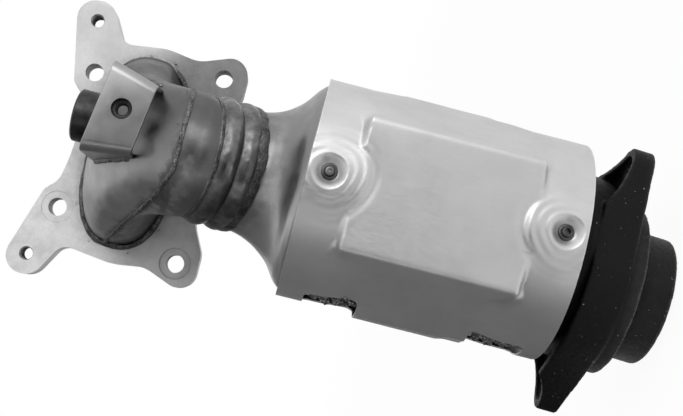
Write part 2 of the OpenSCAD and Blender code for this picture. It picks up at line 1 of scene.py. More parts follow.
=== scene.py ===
"""Finished surfaces of a close-coupled catalytic converter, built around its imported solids.

Lengths are in metres, in the frame of the part: the origin is the middle of the inlet port
on the mating face, X runs across the flange, -Y faces the viewer and +Z is up.
"""

import math

import bmesh
import bpy
import numpy as np
from bpy.props import FloatProperty, FloatVectorProperty, PointerProperty
from mathutils import Matrix, Vector, noise
from mathutils.bvhtree import BVHTree


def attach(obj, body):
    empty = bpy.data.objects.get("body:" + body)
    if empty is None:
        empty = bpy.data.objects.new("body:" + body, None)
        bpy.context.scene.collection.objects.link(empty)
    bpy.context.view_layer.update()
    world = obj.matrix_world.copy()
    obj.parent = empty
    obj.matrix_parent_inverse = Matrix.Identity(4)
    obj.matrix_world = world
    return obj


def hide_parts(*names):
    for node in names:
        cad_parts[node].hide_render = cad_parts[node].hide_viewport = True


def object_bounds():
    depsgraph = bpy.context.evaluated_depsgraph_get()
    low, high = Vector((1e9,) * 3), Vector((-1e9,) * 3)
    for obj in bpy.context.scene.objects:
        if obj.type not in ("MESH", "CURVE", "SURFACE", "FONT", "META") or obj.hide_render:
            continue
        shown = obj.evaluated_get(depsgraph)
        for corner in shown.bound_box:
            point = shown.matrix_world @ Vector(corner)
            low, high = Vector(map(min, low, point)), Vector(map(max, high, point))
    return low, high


bl_info = {
    "name": "Catalytic converter",
    "version": (1, 0, 0),
    "blender": (4, 5, 0),
    "location": "View3D > Sidebar > Converter",
    "description": "Builds the finished surfaces of a close-coupled catalytic converter",
    "category": "Object",
}

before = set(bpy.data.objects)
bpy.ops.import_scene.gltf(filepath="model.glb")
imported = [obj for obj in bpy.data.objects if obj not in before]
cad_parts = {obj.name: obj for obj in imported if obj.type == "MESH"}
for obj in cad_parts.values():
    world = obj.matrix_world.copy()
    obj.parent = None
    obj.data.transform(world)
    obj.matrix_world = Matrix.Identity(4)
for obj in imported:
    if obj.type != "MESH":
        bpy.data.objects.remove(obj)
CAD_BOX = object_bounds()
BODY = "root"

# Shares of the way from the flange to the neck: distance, fall, turn, narrowing, growth in height
COLLECTOR_SHARES = (
    (0, 0, 0, 0, 0),
    (0.19, 0.02, 0.10, 0.14, -0.06),
    (0.42, 0.10, 0.29, 0.42, 0.06),
    (0.64, 0.26, 0.50, 0.70, 0.47),
    (0.83, 0.49, 0.70, 0.88, 0.82),
    (0.955, 0.74, 0.87, 0.955, 1),
    (1, 1, 1, 1, 1),
)
# Shares of the way from the neck to the can: fall, shift, turn, growth
CONE_SHARES = (
    (0, 0, 0, 0),
    (0.17, 0.20, 0.24, 0.03),
    (0.33, 0.40, 0.48, 0.12),
    (0.50, 0.60, 0.68, 0.27),
    (0.67, 0.80, 0.86, 0.52),
    (0.82, 0.95, 0.97, 0.85),
    (0.92, 1, 1, 1),
    (1, 1, 1, 1),
)
# Shares of the neck tube: distance along it, height in ribs
RIB_SHARES = (
    (0, -0.5),
    (0.06, -0.45),
    (0.14, 0.35),
    (0.24, 0.9),
    (0.36, 0.9),
    (0.46, 0.3),
    (0.53, -0.3),
    (0.60, 0.15),
    (0.72, 0.85),
    (0.84, 0.9),
    (0.94, 0.4),
    (1, -0.25),
)
PORT_SQUARENESS = 2.6
ROUND_SQUARENESS = 2.0


# Settings that a user would change


def length(label, value, what):
    return FloatProperty(name=label, description=what, default=value, unit="LENGTH", subtype="DISTANCE",
                         precision=4)


def angle(label, value, what):
    return FloatProperty(name=label, description=what, default=math.radians(value), unit="ROTATION",
                         subtype="ANGLE")


def tone(label, value, what):
    return FloatVectorProperty(name=label, description=what, default=(value, value, value), size=3,
                               min=0.0, max=1.0, subtype="COLOR")


class CollectorSizes(bpy.types.PropertyGroup):
    flange_t: length("Flange", 0.014, "Thickness of the inlet flange")
    half_w: length("Half width", 0.056, "Half of the width of the collector at the flange")
    half_h: length("Half height", 0.026, "Half of the height of the collector at the flange")
    port_z: length("Middle", 0.0025, "Height of the middle of the collector at the flange")
    wall: length("Wall", 0.002, "Sheet thickness of the collector")
    neck_r: length("Neck radius", 0.0345, "Outer radius where the neck begins")
    neck_y: length("Neck distance", 0.0865, "Distance of the neck in front of the mating face")
    neck_z: length("Neck depth", 0.0415, "Depth of the neck below the origin")
    neck_lean: angle("Neck lean", 22, "Lean of the neck back towards the engine")
    neck_l: length("Neck length", 0.024, "Length of the ribbed neck tube")
    rib_h: length("Rib height", 0.0018, "Height of the ribs on the neck tube")
    weld_w: length("Weld width", 0.0027, "Width of the welds on the collector")
    weld_h: length("Weld height", 0.0012, "Height of the welds on the collector")
    dent_h: length("Dents", 0.00035, "Depth of the soft dents of the pressed sheet")
    fold_h: length("Lip", 0.0017, "Height of the folded lip beside the flange")
    box_h: length("Boxy side", 0.0034, "How far the dome bulges on its far side")
    roll_h: length("Roll", 0.0011, "How far the elbow's end rolls in towards the neck")


class BossSizes(bpy.types.PropertyGroup):
    radius: length("Radius", 0.015, "Outer radius of the sensor boss")
    x: length("Offset", 0.009, "Offset of the boss from the middle")
    y: length("Distance", 0.061, "Distance of the boss in front of the mating face")
    top: length("Top", 0.033, "Height of the face of the boss")
    bore_r: length("Bore", 0.0083, "Bore radius of the boss")


class StrapSizes(bpy.types.PropertyGroup):
    width: length("Width", 0.026, "Width of the strap")
    thickness: length("Thickness", 0.0025, "Thickness of the strap")
    face_y: length("Face", 0.117, "Distance of the strap face in front of the mating face")
    foot_y: length("Feet", 0.066, "Distance of the feet in front of the mating face")
    bend_r: length("Bend", 0.0046, "Radius of the bends along the middle of the sheet")
    low_skew: length("Lower skew", 0.0035, "How far the lower bend leans over half the width")
    low_shift: length("Lower shift", 0.0015, "How far the lower bend lies outside the lower leg")
    high_skew: length("Upper skew", 0.0024, "How far the upper bend leans over half the width")
    hole_r: length("Hole", 0.0055, "Radius of the hole in the strap")
    low_x: length("Lower leg", 0.012, "Position of the lower leg")
    high_x: length("Upper leg", 0.034, "Position of the upper leg")
    splay: length("Splay", 0.004, "How far the upper leg leans out")
    turn: angle("Turn", 7, "Turn of the strap seen from the front")


class BodySizes(bpy.types.PropertyGroup):
    axis_y: length("Axis", 0.070, "Distance of the body axis in front of the mating face")
    can_r: length("Can radius", 0.058, "Outer radius of the can")
    can_top: length("Can top", 0.104, "Depth of the top of the can")
    can_l: length("Can length", 0.142, "Length of the can")


class ShieldSizes(bpy.types.PropertyGroup):
    gap: length("Gap", 0.0035, "Gap between the can and the round ends of the shield")
    sheet: length("Sheet", 0.0008, "Sheet thickness of the shield")
    lip: length("Lip", 0.003, "Overhang of the shield past each end of the can")
    pad_drop: length("Front pad", 0.0017, "How far the flat front pad lies inside the round ends")
    facet_drop: length("Facets", 0.0025, "How far the slanting facets lie inside the round ends")
    side_rise: length("Side pads", 0.0013, "How far the side pads stand out of the round ends")
    dimple_r: length("Dimple", 0.0095, "Radius of the dimples that hold the studs")
    bay_r: length("Bay", 0.0215, "Radius of the bay of the front pad around a dimple")
    ring_r: length("Press rings", 0.0275, "Outer radius of the press rings around a dimple")
    ring_h: length("Ring depth", 0.00030, "Depth of the press rings")
    ring_pitch: length("Ring pitch", 0.0048, "Distance from one press ring to the next")
    dent_h: length("Waviness", 0.00016, "Depth of the waviness of the sheet")


class OutletSizes(bpy.types.PropertyGroup):
    voxel: length("Skin step", 0.0010, "Step at which the cast form is remade")
    skin_h: length("Cast skin", 0.00012, "Depth of the roughness of the cast skin")


class FinishTones(bpy.types.PropertyGroup):
    plate: tone("Flange plate", 0.70, "Milled plate")
    dome: tone("Collector", 0.36, "Heat-stained pressed sheet")
    neck: tone("Neck", 0.13, "Rolled tube with heat stain")
    cone: tone("Cone", 0.47, "Spun cone")
    strap: tone("Strap", 0.33, "Bright rolled strip")
    boss: tone("Boss", 0.040, "Blackened turned steel")
    weld: tone("Weld", 0.12, "Oxidised weld metal")
    shield: tone("Shield", 0.57, "Aluminised sheet")
    casting: tone("Casting", 0.014, "Near black cast skin")
    fastener: tone("Fastener", 0.15, "Stud and washer steel")
    can: tone("Can", 0.42, "Plain stainless sheet")
    fibre: tone("Mat", 0.62, "Mineral fibre")
    ceramic: tone("Ceramic", 0.55, "Wash-coated ceramic")


class StudioSettings(bpy.types.PropertyGroup):
    key_power: FloatProperty(name="Key light", description="Power of the lamp above", default=2.1)
    front_power: FloatProperty(name="Front light", description="Power of the lamp in front", default=4.1)
    room: FloatProperty(name="Room", description="Strength of the light of the room", default=0.70)
    floor_gap: length("Floor gap", 0.0005, "Gap between the floor and the part")
    lens: FloatProperty(name="Lens", description="Focal length on a 36 mm sensor", default=58.66)


# Small helpers for meshes


def smooth_row(a, b, c, d, t):
    bend = 2 * a - 5 * b + 4 * c - d + t * (3 * (b - c) + d - a)
    return b + 0.5 * t * (c - a + t * bend)


def smooth_rows(rows, steps):
    """The rows of a table with smooth rows between them."""
    table = np.array(rows, float)
    last = len(table) - 1
    made = []
    for i in range(last):
        for step in range(steps):
            made.append(smooth_row(table[max(i - 1, 0)], table[i], table[i + 1],
                                   table[min(i + 2, last)], step / steps))
    made.append(table[last])
    return made


def ease(t):
    s = np.clip(t, 0, 1)
    return s * s * (3 - 2 * s)


def window(value, start, rise, end, fall):
    """One between a start and an end and zero outside, with soft rims over a rise and a fall."""
    return ease((value - start) / rise) * ease((end - value) / fall)


def rough(point, size, seed=0.0, octaves=4):
    """Seeded noise of about -1 to 1 whose lumps are about size across."""
    return noise.fractal(Vector(point) / size + Vector((seed, 2 * seed, 3 * seed)), 0.9, 2.0, octaves)


def circle(count):
    """Angles at even steps around a circle."""
    return [2 * math.pi * i / count for i in range(count)]


def spoke(t, radius=1.0, z=0.0):
    """The point at an angle and a radius about the Z axis."""
    return Vector((radius * math.cos(t), radius * math.sin(t), z))


def quarter(x, y, radius, start, steps):
    """Points of a quarter of a circle that starts at a turn in degrees."""
    made = []
    for k in range(steps + 1):
        t = math.radians(start + 90 * k / steps)
        made.append((x + radius * math.cos(t), y + radius * math.sin(t)))
    return made


def ring(place, turn, half_w, half_h, square, count):
    """Points around one section of the gas path."""
    a = np.linspace(0, 2 * math.pi, count, endpoint=False)
    across = half_w * np.sign(np.cos(a)) * np.abs(np.cos(a)) ** (2 / square)
    up = half_h * np.sign(np.sin(a)) * np.abs(np.sin(a)) ** (2 / square)
    x, y, z = place
    return np.stack([x + across, y - up * math.sin(turn), z + up * math.cos(turn)], axis=1)


def stack_normals(stack):
    """Outward normals of a stack of rings."""
    along = np.gradient(stack, axis=0)
    around = np.roll(stack, -1, axis=1) - np.roll(stack, 1, axis=1)
    made = np.cross(around, along)
    made /= np.maximum(np.linalg.norm(made, axis=2, keepdims=True), 1e-12)
    outward = stack - stack.mean(axis=1, keepdims=True)
    flip = np.where((made * outward).sum(axis=2, keepdims=True) < 0, -1.0, 1.0)
    return made * flip


def quads(rows, count, base=0, flipped=False):
    """Faces of a tube of rings, each of count points."""
    faces = []
    for j in range(rows - 1):
        for i in range(count):
            k = (i + 1) % count
            face = (base + j * count + i, base + (j + 1) * count + i,
                    base + (j + 1) * count + k, base + j * count + k)
            faces.append(face[::-1] if flipped else face)
    return faces


def capped(rows, count):
    """Faces of a tube of rings with both ends closed."""
    ends = [tuple(range(count)), tuple(range((rows - 1) * count, rows * count))[::-1]]
    return quads(rows, count) + ends


def thick_tube(outer, inner):
    """Points and faces of the closed skin between two stacks of rings."""
    rows, count = outer.shape[:2]
    far = rows * count
    faces = quads(rows, count) + quads(rows, count, far, True)
    for i in range(count):
        k = (i + 1) % count
        e = (rows - 1) * count
        faces.append((i, k, far + k, far + i))
        faces.append((e + k, e + i, far + e + i, far + e + k))
    return np.concatenate([outer.reshape(-1, 3), inner.reshape(-1, 3)]), faces


def linked(name, data):
    """A new object in the scene with its data."""
    made = bpy.data.objects.new(name, data)
    bpy.context.scene.collection.objects.link(made)
    return made


def made_mesh(name, points, faces):
    """A new piece whose faces all look outwards."""
    mesh = bpy.data.meshes.new(name)
    mesh.from_pydata([tuple(p) for p in points], [], faces)
    mesh.validate()
    piece = linked(name, mesh)
    tidy_normals(piece)
    return piece


def tidy_normals(piece):
    bm = bmesh.new()
    bm.from_mesh(piece.data)
    bmesh.ops.recalc_face_normals(bm, faces=bm.faces)
    bm.to_mesh(piece.data)
    bm.free()


def join_lumps(name, lumps):
    """One piece from several lists of points and faces."""
    points, faces = [], []
    for lump_points, lump_faces in lumps:
        base = len(points)
        points.extend(tuple(p) for p in lump_points)
        faces.extend(tuple(base + i for i in face) for face in lump_faces)
    return made_mesh(name, points, faces)


def applied(piece):
    """Applies the modifiers of a piece."""
    graph = bpy.context.evaluated_depsgraph_get()
    graph.update()
    mesh = bpy.data.meshes.new_from_object(piece.evaluated_get(graph), depsgraph=graph)
    piece.modifiers.clear()
    piece.data = mesh
    return piece


def cut(piece, cutter, operation="DIFFERENCE", keep=False):
    """Cuts a piece by another and removes the cutter unless it is kept."""
    modifier = piece.modifiers.new("Cut", "BOOLEAN")
    modifier.object = cutter
    modifier.operation = operation
    modifier.solver = "EXACT"
    applied(piece)
    if not piece.data.polygons:
        raise RuntimeError(f"the cut left nothing of {piece.name}")
    if not keep:
        bpy.data.objects.remove(cutter)
    return piece


# Turns in degrees from which an edge is sharp, and on a weld
SHARP_TURN = 35
WELD_SHARP_TURN = 60
# Turn in degrees under which two faces lie in one plane, and distance under which points are one
FLAT_TURN = 0.4
SAME_POINT = 2e-6


def finish_piece(piece, nodes, material, sharp_turn=SHARP_TURN, flat=False):
    """Gives a piece its material and its place among the CAD nodes."""
    piece.data.materials.clear()
    piece.data.materials.append(material)
    piece.data.shade_smooth()
    piece.data.set_sharp_from_angle(angle=math.radians(sharp_turn))
    if flat:
        modifier = piece.modifiers.new("Flat faces", "WEIGHTED_NORMAL")
        modifier.keep_sharp = True
        modifier.weight = 100
        applied(piece)
    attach(piece, BODY)
    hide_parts(*nodes)
    return piece


def cad_copy(node, name, bevel):
    """A copy of a CAD node's form with its sharp edges broken."""
    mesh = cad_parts[node].data.copy()
    mesh.name = name
    piece = linked(name, mesh)
    break_edges(piece, bevel)
    return piece


def break_edges(piece, bevel):
    """Joins the flat faces of a piece and rounds the edges between them."""
    bm = bmesh.new()
    bm.from_mesh(piece.data)
    bmesh.ops.remove_doubles(bm, verts=bm.verts, dist=SAME_POINT)
    bmesh.ops.dissolve_limit(bm, angle_limit=math.radians(FLAT_TURN), verts=bm.verts, edges=bm.edges)
    if bevel:
        sharp = [e for e in bm.edges
                 if len(e.link_faces) == 2 and e.calc_face_angle(0) > math.radians(SHARP_TURN)]
        bmesh.ops.bevel(bm, geom=sharp, offset=bevel, offset_type="OFFSET", segments=2,
                        profile=0.6, affect="EDGES", clamp_overlap=True)
    bm.to_mesh(piece.data)
    bm.free()


def rod(name, matrix, radius, start, end, steps=48):
    """A closed cylinder along the local Z of a matrix."""
    points = [matrix @ spoke(t, radius, z) for z in (start, end) for t in circle(steps)]
    return made_mesh(name, points, capped(2, steps))


def turned(profile, matrix, steps, lift=None):
    """Points and faces of a closed profile of (radius, height) turned about the local Z."""
    points = []
    for t in circle(steps):
        out = matrix.to_3x3() @ spoke(t)
        for r, z in profile:
            p = matrix @ spoke(t, r, z)
            if lift:
                p = p + out * lift(p, r, z)
            points.append(p)
    count = len(profile)
    faces = []
    for i in range(steps):
        after = (i + 1) % steps
        for j in range(count):
            k = (j + 1) % count
            faces.append((i * count + j, i * count + k, after * count + k, after * count + j))
    return points, faces


def thread(matrix, radius, pitch, depth, start, end, steps=36):
    """A helical ridge that stands inwards from the wall of a hole."""
    count = int((end - start) / pitch * steps)
    foot = radius + 0.1 * depth
    ridge = ((foot, -0.42 * pitch), (radius - depth, 0), (foot, 0.42 * pitch))
    points = []
    for i in range(count + 1):
        t = 2 * math.pi * i / steps
        z = start + pitch * i / steps
        points.extend(matrix @ spoke(t, r, z + dz) for r, dz in ridge)
    faces = []
    for i in range(count):
        for j in range(3):
            k = (j + 1) % 3
            faces.append((3 * i + j, 3 * i + k, 3 * i + 3 + k, 3 * i + 3 + j))
    faces.append((0, 2, 1))
    faces.append((3 * count, 3 * count + 1, 3 * count + 2))
    return points, faces


def add_lumps(piece, lumps):
    """Adds loose parts to a piece's own mesh."""
    bm = bmesh.new()
    bm.from_mesh(piece.data)
    for points, faces in lumps:
        verts = [bm.verts.new(p) for p in points]
        for face in faces:
            bm.faces.new([verts[i] for i in face])
    bm.normal_update()
    bm.to_mesh(piece.data)
    bm.free()


# Welds


BEAD_STEP = 0.00042
BEAD_SIDES = 13
RIPPLE_PITCH = 0.0021
# Sizes of the noise that swells, bends and roughens a bead
SWELL_SIZE = 0.009
WANDER_SIZE = 0.012
LUMP_SIZE = 0.0028


def even_path(points, normals, step, closed):
    """The same path with points at even steps."""
    pts = [Vector(p) for p in points]
    nrm = [Vector(n) for n in normals]
    if closed:
        pts.append(pts[0])
        nrm.append(nrm[0])
    far = [0.0]
    for a, b in zip(pts, pts[1:]):
        far.append(far[-1] + (b - a).length)
    count = max(int(far[-1] / step), 3)
    made, made_normals, k = [], [], 0
    for i in range(count if closed else count + 1):
        d = far[-1] * i / count
        while k < len(far) - 2 and far[k + 1] < d:
            k += 1
        t = (d - far[k]) / max(far[k + 1] - far[k], 1e-9)
        made.append(pts[k].lerp(pts[k + 1], t))
        made_normals.append(nrm[k].lerp(nrm[k + 1], t).normalized())
    return made, made_normals


def bead(points, normals, width, height, closed=False, seed=0.0, lumpy=0.22):
    """Points and faces of a weld bead with crescent ripples and lumps."""
    path, ups = even_path(points, normals, BEAD_STEP, closed)
    count = len(path)
    made = []
    run = 0.0
    for i, (p, up) in enumerate(zip(path, ups)):
        ahead = path[(i + 1) % count] if closed or i + 1 < count else p
        behind = path[i - 1] if closed or i > 0 else p
        along = (ahead - behind).normalized()
        across = along.cross(up).normalized()
        run += (p - behind).length if i else 0.0
        swell = 1 + 0.22 * rough(p, SWELL_SIZE, seed, 3)
        end = 1.0 if closed else min(1.0, 3.0 * min(i, count - 1 - i) / (width / BEAD_STEP) + 0.15)
        wander = width * 0.10 * rough(p, WANDER_SIZE, seed + 5, 2)
        for j in range(BEAD_SIDES):
            t = math.pi * j / (BEAD_SIDES - 1)
            side = math.cos(t)
            top = math.sin(t)
            ripple = math.cos(2 * math.pi * (run / RIPPLE_PITCH + 0.30 * side * side))
            high = height * end * swell * (top ** 0.8 if top > 0 else 0) * (1 + 0.045 * ripple)
            aside = side * 0.5 * width * swell * end + wander
            q = p + across * aside + up * (high - 0.10 * height)
            lump = lumpy * height * top * rough(q, LUMP_SIZE, seed + 9, 4)
            made.append(q + up * lump)
        made.append(p - up * 0.7 * height)
    size = BEAD_SIDES + 1
    if not closed:
        return made, capped(count, size)
    faces = quads(count, size)
    last = (count - 1) * size
    faces.extend((last + j, j, (j + 1) % size, last + (j + 1) % size) for j in range(size))
    return made, faces


def ball(radius, subdivisions):
    """Points and faces of a ball around the origin."""
    bm = bmesh.new()
    bmesh.ops.create_icosphere(bm, subdivisions=subdivisions, radius=radius)
    points = [v.co.copy() for v in bm.verts]
    faces = [tuple(v.index for v in f.verts) for f in bm.faces]
    bm.free()
    return points, faces


def spatter(places, normals, radius, seed):
    """Small drops of weld metal."""
    lumps = []
    for i, (p, n) in enumerate(zip(places, normals)):
        r = radius * (0.6 + 0.5 * abs(math.sin(12.9 * i + seed)))
        points, faces = ball(r, 2)
        lumps.append(([Vector(p) + Vector(n) * 0.35 * r + v for v in points], faces))
    return lumps


# Places on the part


def neck_matrix():
    c = bpy.context.scene.collector_sizes
    lean = Matrix.Rotation(c.neck_lean, 4, "X")
    return Matrix.Translation((0, -c.neck_y, -c.neck_z)) @ lean @ Matrix.Diagonal((1, 1, -1, 1))


def strap_matrix():
    s = bpy.context.scene.strap_sizes
    middle = (s.high_x - s.low_x) / 2
    shift = Matrix.Translation((middle, 0, 0))
    return shift @ Matrix.Rotation(s.turn, 4, "Y") @ shift.inverted()


def strap_hole_matrix():
    s = bpy.context.scene.strap_sizes
    middle = (s.high_x - s.low_x) / 2
    return strap_matrix() @ Matrix.Translation((middle, -s.face_y, 0)) @ Matrix.Rotation(-math.pi / 2, 4, "X")


def strap_shift(side, lean):
    """How far a place on the strap lies off the plain strip, from -1 to 1 along it and across it."""
    s = bpy.context.scene.strap_sizes
    high = (side + 1) / 2
    return -(1 - high) * (s.low_shift + s.low_skew * lean) + high * s.high_skew * (lean - 1)


def rounded_corner(before, corner, after, radius):
    """Points of the arc that rounds a corner of a path."""
    back, ahead = (before - corner).normalized(), (after - corner).normalized()
    half = back.angle(ahead) / 2
    centre = corner + (back + ahead).normalized() * radius / math.sin(half)
    first = corner + back * radius / math.tan(half) - centre
    last = corner + ahead * radius / math.tan(half) - centre
    swing = first.angle_signed(last)
    made = []
    for k in range(9):
        t = -swing * k / 8
        made.append(centre + Vector((first.x * math.cos(t) - first.y * math.sin(t),
                                     first.x * math.sin(t) + first.y * math.cos(t))))
    return made


# Shared effects of the finishes


def new_group(name, inputs, outputs):
    """A shader group with its sockets, and its two end nodes."""
    group = bpy.data.node_groups.new(name, "ShaderNodeTree")
    for label, kind, value in inputs:
        socket = group.interface.new_socket(name=label, in_out="INPUT", socket_type=kind)
        socket.default_value = value
    for label in outputs:
        group.interface.new_socket(name=label, in_out="OUTPUT", socket_type="NodeSocketFloat")
    return group, group.nodes.new("NodeGroupInput"), group.nodes.new("NodeGroupOutput")


def feed(tree, socket, value):
    """Links a value to a socket, or sets it there when it is a constant."""
    if isinstance(value, bpy.types.NodeSocket):
        tree.links.new(value, socket)
    else:
        socket.default_value = value


def vector_step(tree, operation, first, second=None):
    """The outputs of one step of vector maths."""
    node = tree.nodes.new("ShaderNodeVectorMath")
    node.operation = operation
    feed(tree, node.inputs[0], first)
    if second is not None:
        feed(tree, node.inputs["Scale" if operation == "SCALE" else 1], second)
    return node.outputs


def parts(tree, vector):
    """The three numbers of a vector."""
    node = tree.nodes.new("ShaderNodeSeparateXYZ")
    tree.links.new(vector, node.inputs[0])
    return node.outputs


def math_step(tree, operation, first, second, clamp=False):
    node = tree.nodes.new("ShaderNodeMath")
    node.operation = operation
    node.use_clamp = clamp
    for socket, value in zip(node.inputs, (first, second)):
        feed(tree, socket, value)
    return node.outputs[0]


def spread(tree, value, low, high, to_low=0.0, to_high=1.0):
    """Maps a range of a value to another range, with soft ends."""
    node = tree.nodes.new("ShaderNodeMapRange")
    node.interpolation_type = "SMOOTHSTEP"
    tree.links.new(value, node.inputs["Value"])
    for label, amount in (("From Min", low), ("From Max", high), ("To Min", to_low), ("To Max", to_high)):
        feed(tree, node.inputs[label], amount)
    return node.outputs["Result"]


def object_place(tree, scale, stretch=None):
    """Coordinates on the part, times a scale and a stretch."""
    place = tree.nodes.new("ShaderNodeTexCoord").outputs["Object"]
    scaled = vector_step(tree, "SCALE", place, scale)[0]
    if stretch is None:
        return scaled
    return vector_step(tree, "MULTIPLY", scaled, stretch)[0]


def noise_step(tree, place, detail, roughness):
    node = tree.nodes.new("ShaderNodeTexNoise")
    node.inputs["Scale"].default_value = 1.0
    node.inputs["Detail"].default_value = detail
    node.inputs["Roughness"].default_value = roughness
    tree.links.new(place, node.inputs["Vector"])
    return node.outputs[0]


def edge_wear_and_shade_group():
    """A mask of the worn edges, broken up by noise, and a mask of the creases for painted shade."""
    group, start, end = new_group(
        "Edge wear and crevice shade",
        (("Reach", "NodeSocketFloat", 0.06), ("Break-up scale", "NodeSocketFloat", 500.0)),
        ("Mask", "Painted crevice shade"))
    point = group.nodes.new("ShaderNodeNewGeometry").outputs["Pointiness"]
    worn = spread(group, point, 0.515, math_step(group, "ADD", 0.515, start.outputs["Reach"]))
    torn = noise_step(group, object_place(group, start.outputs["Break-up scale"]), 4.0, 0.6)
    mask = math_step(group, "MULTIPLY", worn, spread(group, torn, 0.3, 0.6))
    # The creases of the mesh give a mask for painted shade.
    deepest = math_step(group, "SUBTRACT", 0.485, start.outputs["Reach"])
    hollow = spread(group, point, deepest, 0.485, 1.0, 0.0)
    group.links.new(mask, end.inputs["Mask"])
    group.links.new(hollow, end.inputs["Painted crevice shade"])
    return group


def grain_group():
    """Fine lines or grains of a rolled, turned or cast surface."""
    group, start, end = new_group(
        "Grain",
        (("Scale", "NodeSocketFloat", 3000.0), ("Stretch", "NodeSocketVector", (1.0, 1.0, 0.05))),
        ("Value", "Height"))
    place = object_place(group, start.outputs["Scale"], start.outputs["Stretch"])
    fine = noise_step(group, place, 3.0, 0.55)
    group.links.new(fine, end.inputs["Value"])
    group.links.new(spread(group, fine, 0.25, 0.75), end.inputs["Height"])
    return group


def clouding_group():
    """Soft clouds and mottles of two sizes."""
    group, start, end = new_group(
        "Clouding",
        (("Scale", "NodeSocketFloat", 60.0), ("Speckle scale", "NodeSocketFloat", 900.0),
         ("Contrast", "NodeSocketFloat", 0.2)),
        ("Cloud", "Speckle"))
    soft = noise_step(group, object_place(group, start.outputs["Scale"]), 4.0, 0.6)
    low = math_step(group, "SUBTRACT", 0.5, start.outputs["Contrast"])
    high = math_step(group, "ADD", 0.5, start.outputs["Contrast"])
    fine = noise_step(group, object_place(group, start.outputs["Speckle scale"]), 3.0, 0.7)
    group.links.new(spread(group, soft, low, high), end.inputs["Cloud"])
    group.links.new(spread(group, fine, 0.35, 0.68), end.inputs["Speckle"])
    return group


def grime_and_shade_group():
    """A mask of the corners where soot and dust gather and where shade is painted."""
    group, start, end = new_group(
        "Grime and painted shade",
        (("Reach", "NodeSocketFloat", 0.008), ("Scale", "NodeSocketFloat", 220.0)),
        ("Mask",))
    shade_node = group.nodes.new("ShaderNodeAmbientOcclusion")
    shade_node.samples = 6
    group.links.new(start.outputs["Reach"], shade_node.inputs["Distance"])
    # Painted shade with some soot and dust: the corners that ambient occlusion finds are darkened.
    corner = spread(group, shade_node.outputs["AO"], 0.35, 0.95, 1.0, 0.0)
    torn = noise_step(group, object_place(group, start.outputs["Scale"]), 5.0, 0.65)
    mask = math_step(group, "MULTIPLY", corner, spread(group, torn, 0.25, 0.6, 0.5, 1.0), True)
    group.links.new(mask, end.inputs["Mask"])
    return group


def burnt_band_group():
    """A mask of the burnt sheet on both sides of a weld that lies in one plane."""
    group, start, end = new_group(
        "Burnt band",
        (("Place", "NodeSocketVector", (0.0, 0.0, 0.0)), ("Direction", "NodeSocketVector", (0.0, 0.0, 1.0)),
         ("Width", "NodeSocketFloat", 0.006)),
        ("Mask",))
    away = vector_step(group, "SUBTRACT", object_place(group, 1.0), start.outputs["Place"])[0]
    along = vector_step(group, "DOT_PRODUCT", away, start.outputs["Direction"])["Value"]
    far = math_step(group, "ABSOLUTE", along, 0.0)
    ragged = noise_step(group, object_place(group, 160.0), 4.0, 0.6)
    reach = math_step(group, "MULTIPLY", start.outputs["Width"], spread(group, ragged, 0.25, 0.75, 0.35, 1.6))
    share_of_reach = math_step(group, "DIVIDE", far, reach)
    group.links.new(spread(group, share_of_reach, 0.15, 1.0, 1.0, 0.0), end.inputs["Mask"])
    return group


EFFECTS = {
    "Burnt band": burnt_band_group,
    "Edge wear and crevice shade": edge_wear_and_shade_group,
    "Grain": grain_group,
    "Clouding": clouding_group,
    "Grime and painted shade": grime_and_shade_group,
}


def effect(tree, name, **values):
    """Places a shared effect in a material with values of its own."""
    group = bpy.data.node_groups.get(name) or EFFECTS[name]()
    node = tree.nodes.new("ShaderNodeGroup")
    node.node_tree = group
    for label, value in values.items():
        node.inputs[label.replace("_", " ").replace("Break up", "Break-up")].default_value = value
    return node.outputs


# Finishes


def grey(value):
    """The tone of a setting as four numbers."""
    return (float(value[0]), float(value[1]), float(value[2]), 1.0)


def times(value, factor):
    return tuple(min(float(v) * factor, 1.0) for v in value)


def new_finish(name, metallic):
    """A material with its principled shader."""
    finish = bpy.data.materials.new(name)
    finish.use_nodes = True
    tree = finish.node_tree
    tree.nodes.clear()
    shader = tree.nodes.new("ShaderNodeBsdfPrincipled")
    out = tree.nodes.new("ShaderNodeOutputMaterial")
    tree.links.new(shader.outputs[0], out.inputs["Surface"])
    shader.inputs["Metallic"].default_value = metallic
    return finish, tree, shader


def blend(tree, mask, first, second):
    """Mixes two colours by a mask."""
    node = tree.nodes.new("ShaderNodeMix")
    node.data_type = "RGBA"
    tree.links.new(mask, node.inputs[0])
    for index, value in ((6, first), (7, second)):
        feed(tree, node.inputs[index], value if isinstance(value, bpy.types.NodeSocket) else grey(value))
    return node.outputs[2]


def layer(tree, tint, mask, strength, tone_above):
    """Lays a tone over a tint where a mask is, by a strength."""
    return blend(tree, math_step(tree, "MULTIPLY", mask, strength), tint, tone_above)


def dress(tree, shader, tint, dull, height, depth):
    """Gives a shader its colour, its roughness and its fine relief."""
    tree.links.new(tint, shader.inputs["Base Color"])
    feed(tree, shader.inputs["Roughness"], dull)
    bump = tree.nodes.new("ShaderNodeBump")
    bump.inputs["Distance"].default_value = depth
    tree.links.new(height, bump.inputs["Height"])
    tree.links.new(bump.outputs[0], shader.inputs["Normal"])


def burn(tree, tint, value, bands):
    """Darkens a tint beside the welds, each given as place, direction, width and strength."""
    for place, direction, width, strength in bands:
        band = effect(tree, "Burnt band", Place=place, Direction=direction, Width=width)
        tint = layer(tree, tint, band["Mask"], strength, times(value, 0.30))
    return tint


def painted_shade_above(tree, tint, value, low, high, strength, axis="X"):
    """Darkens a tint towards one side of the part, as painted shade."""
    side = parts(tree, object_place(tree, 1.0))[axis]
    return blend(tree, spread(tree, side, low, high, 0.0, strength), tint, times(value, 0.25))


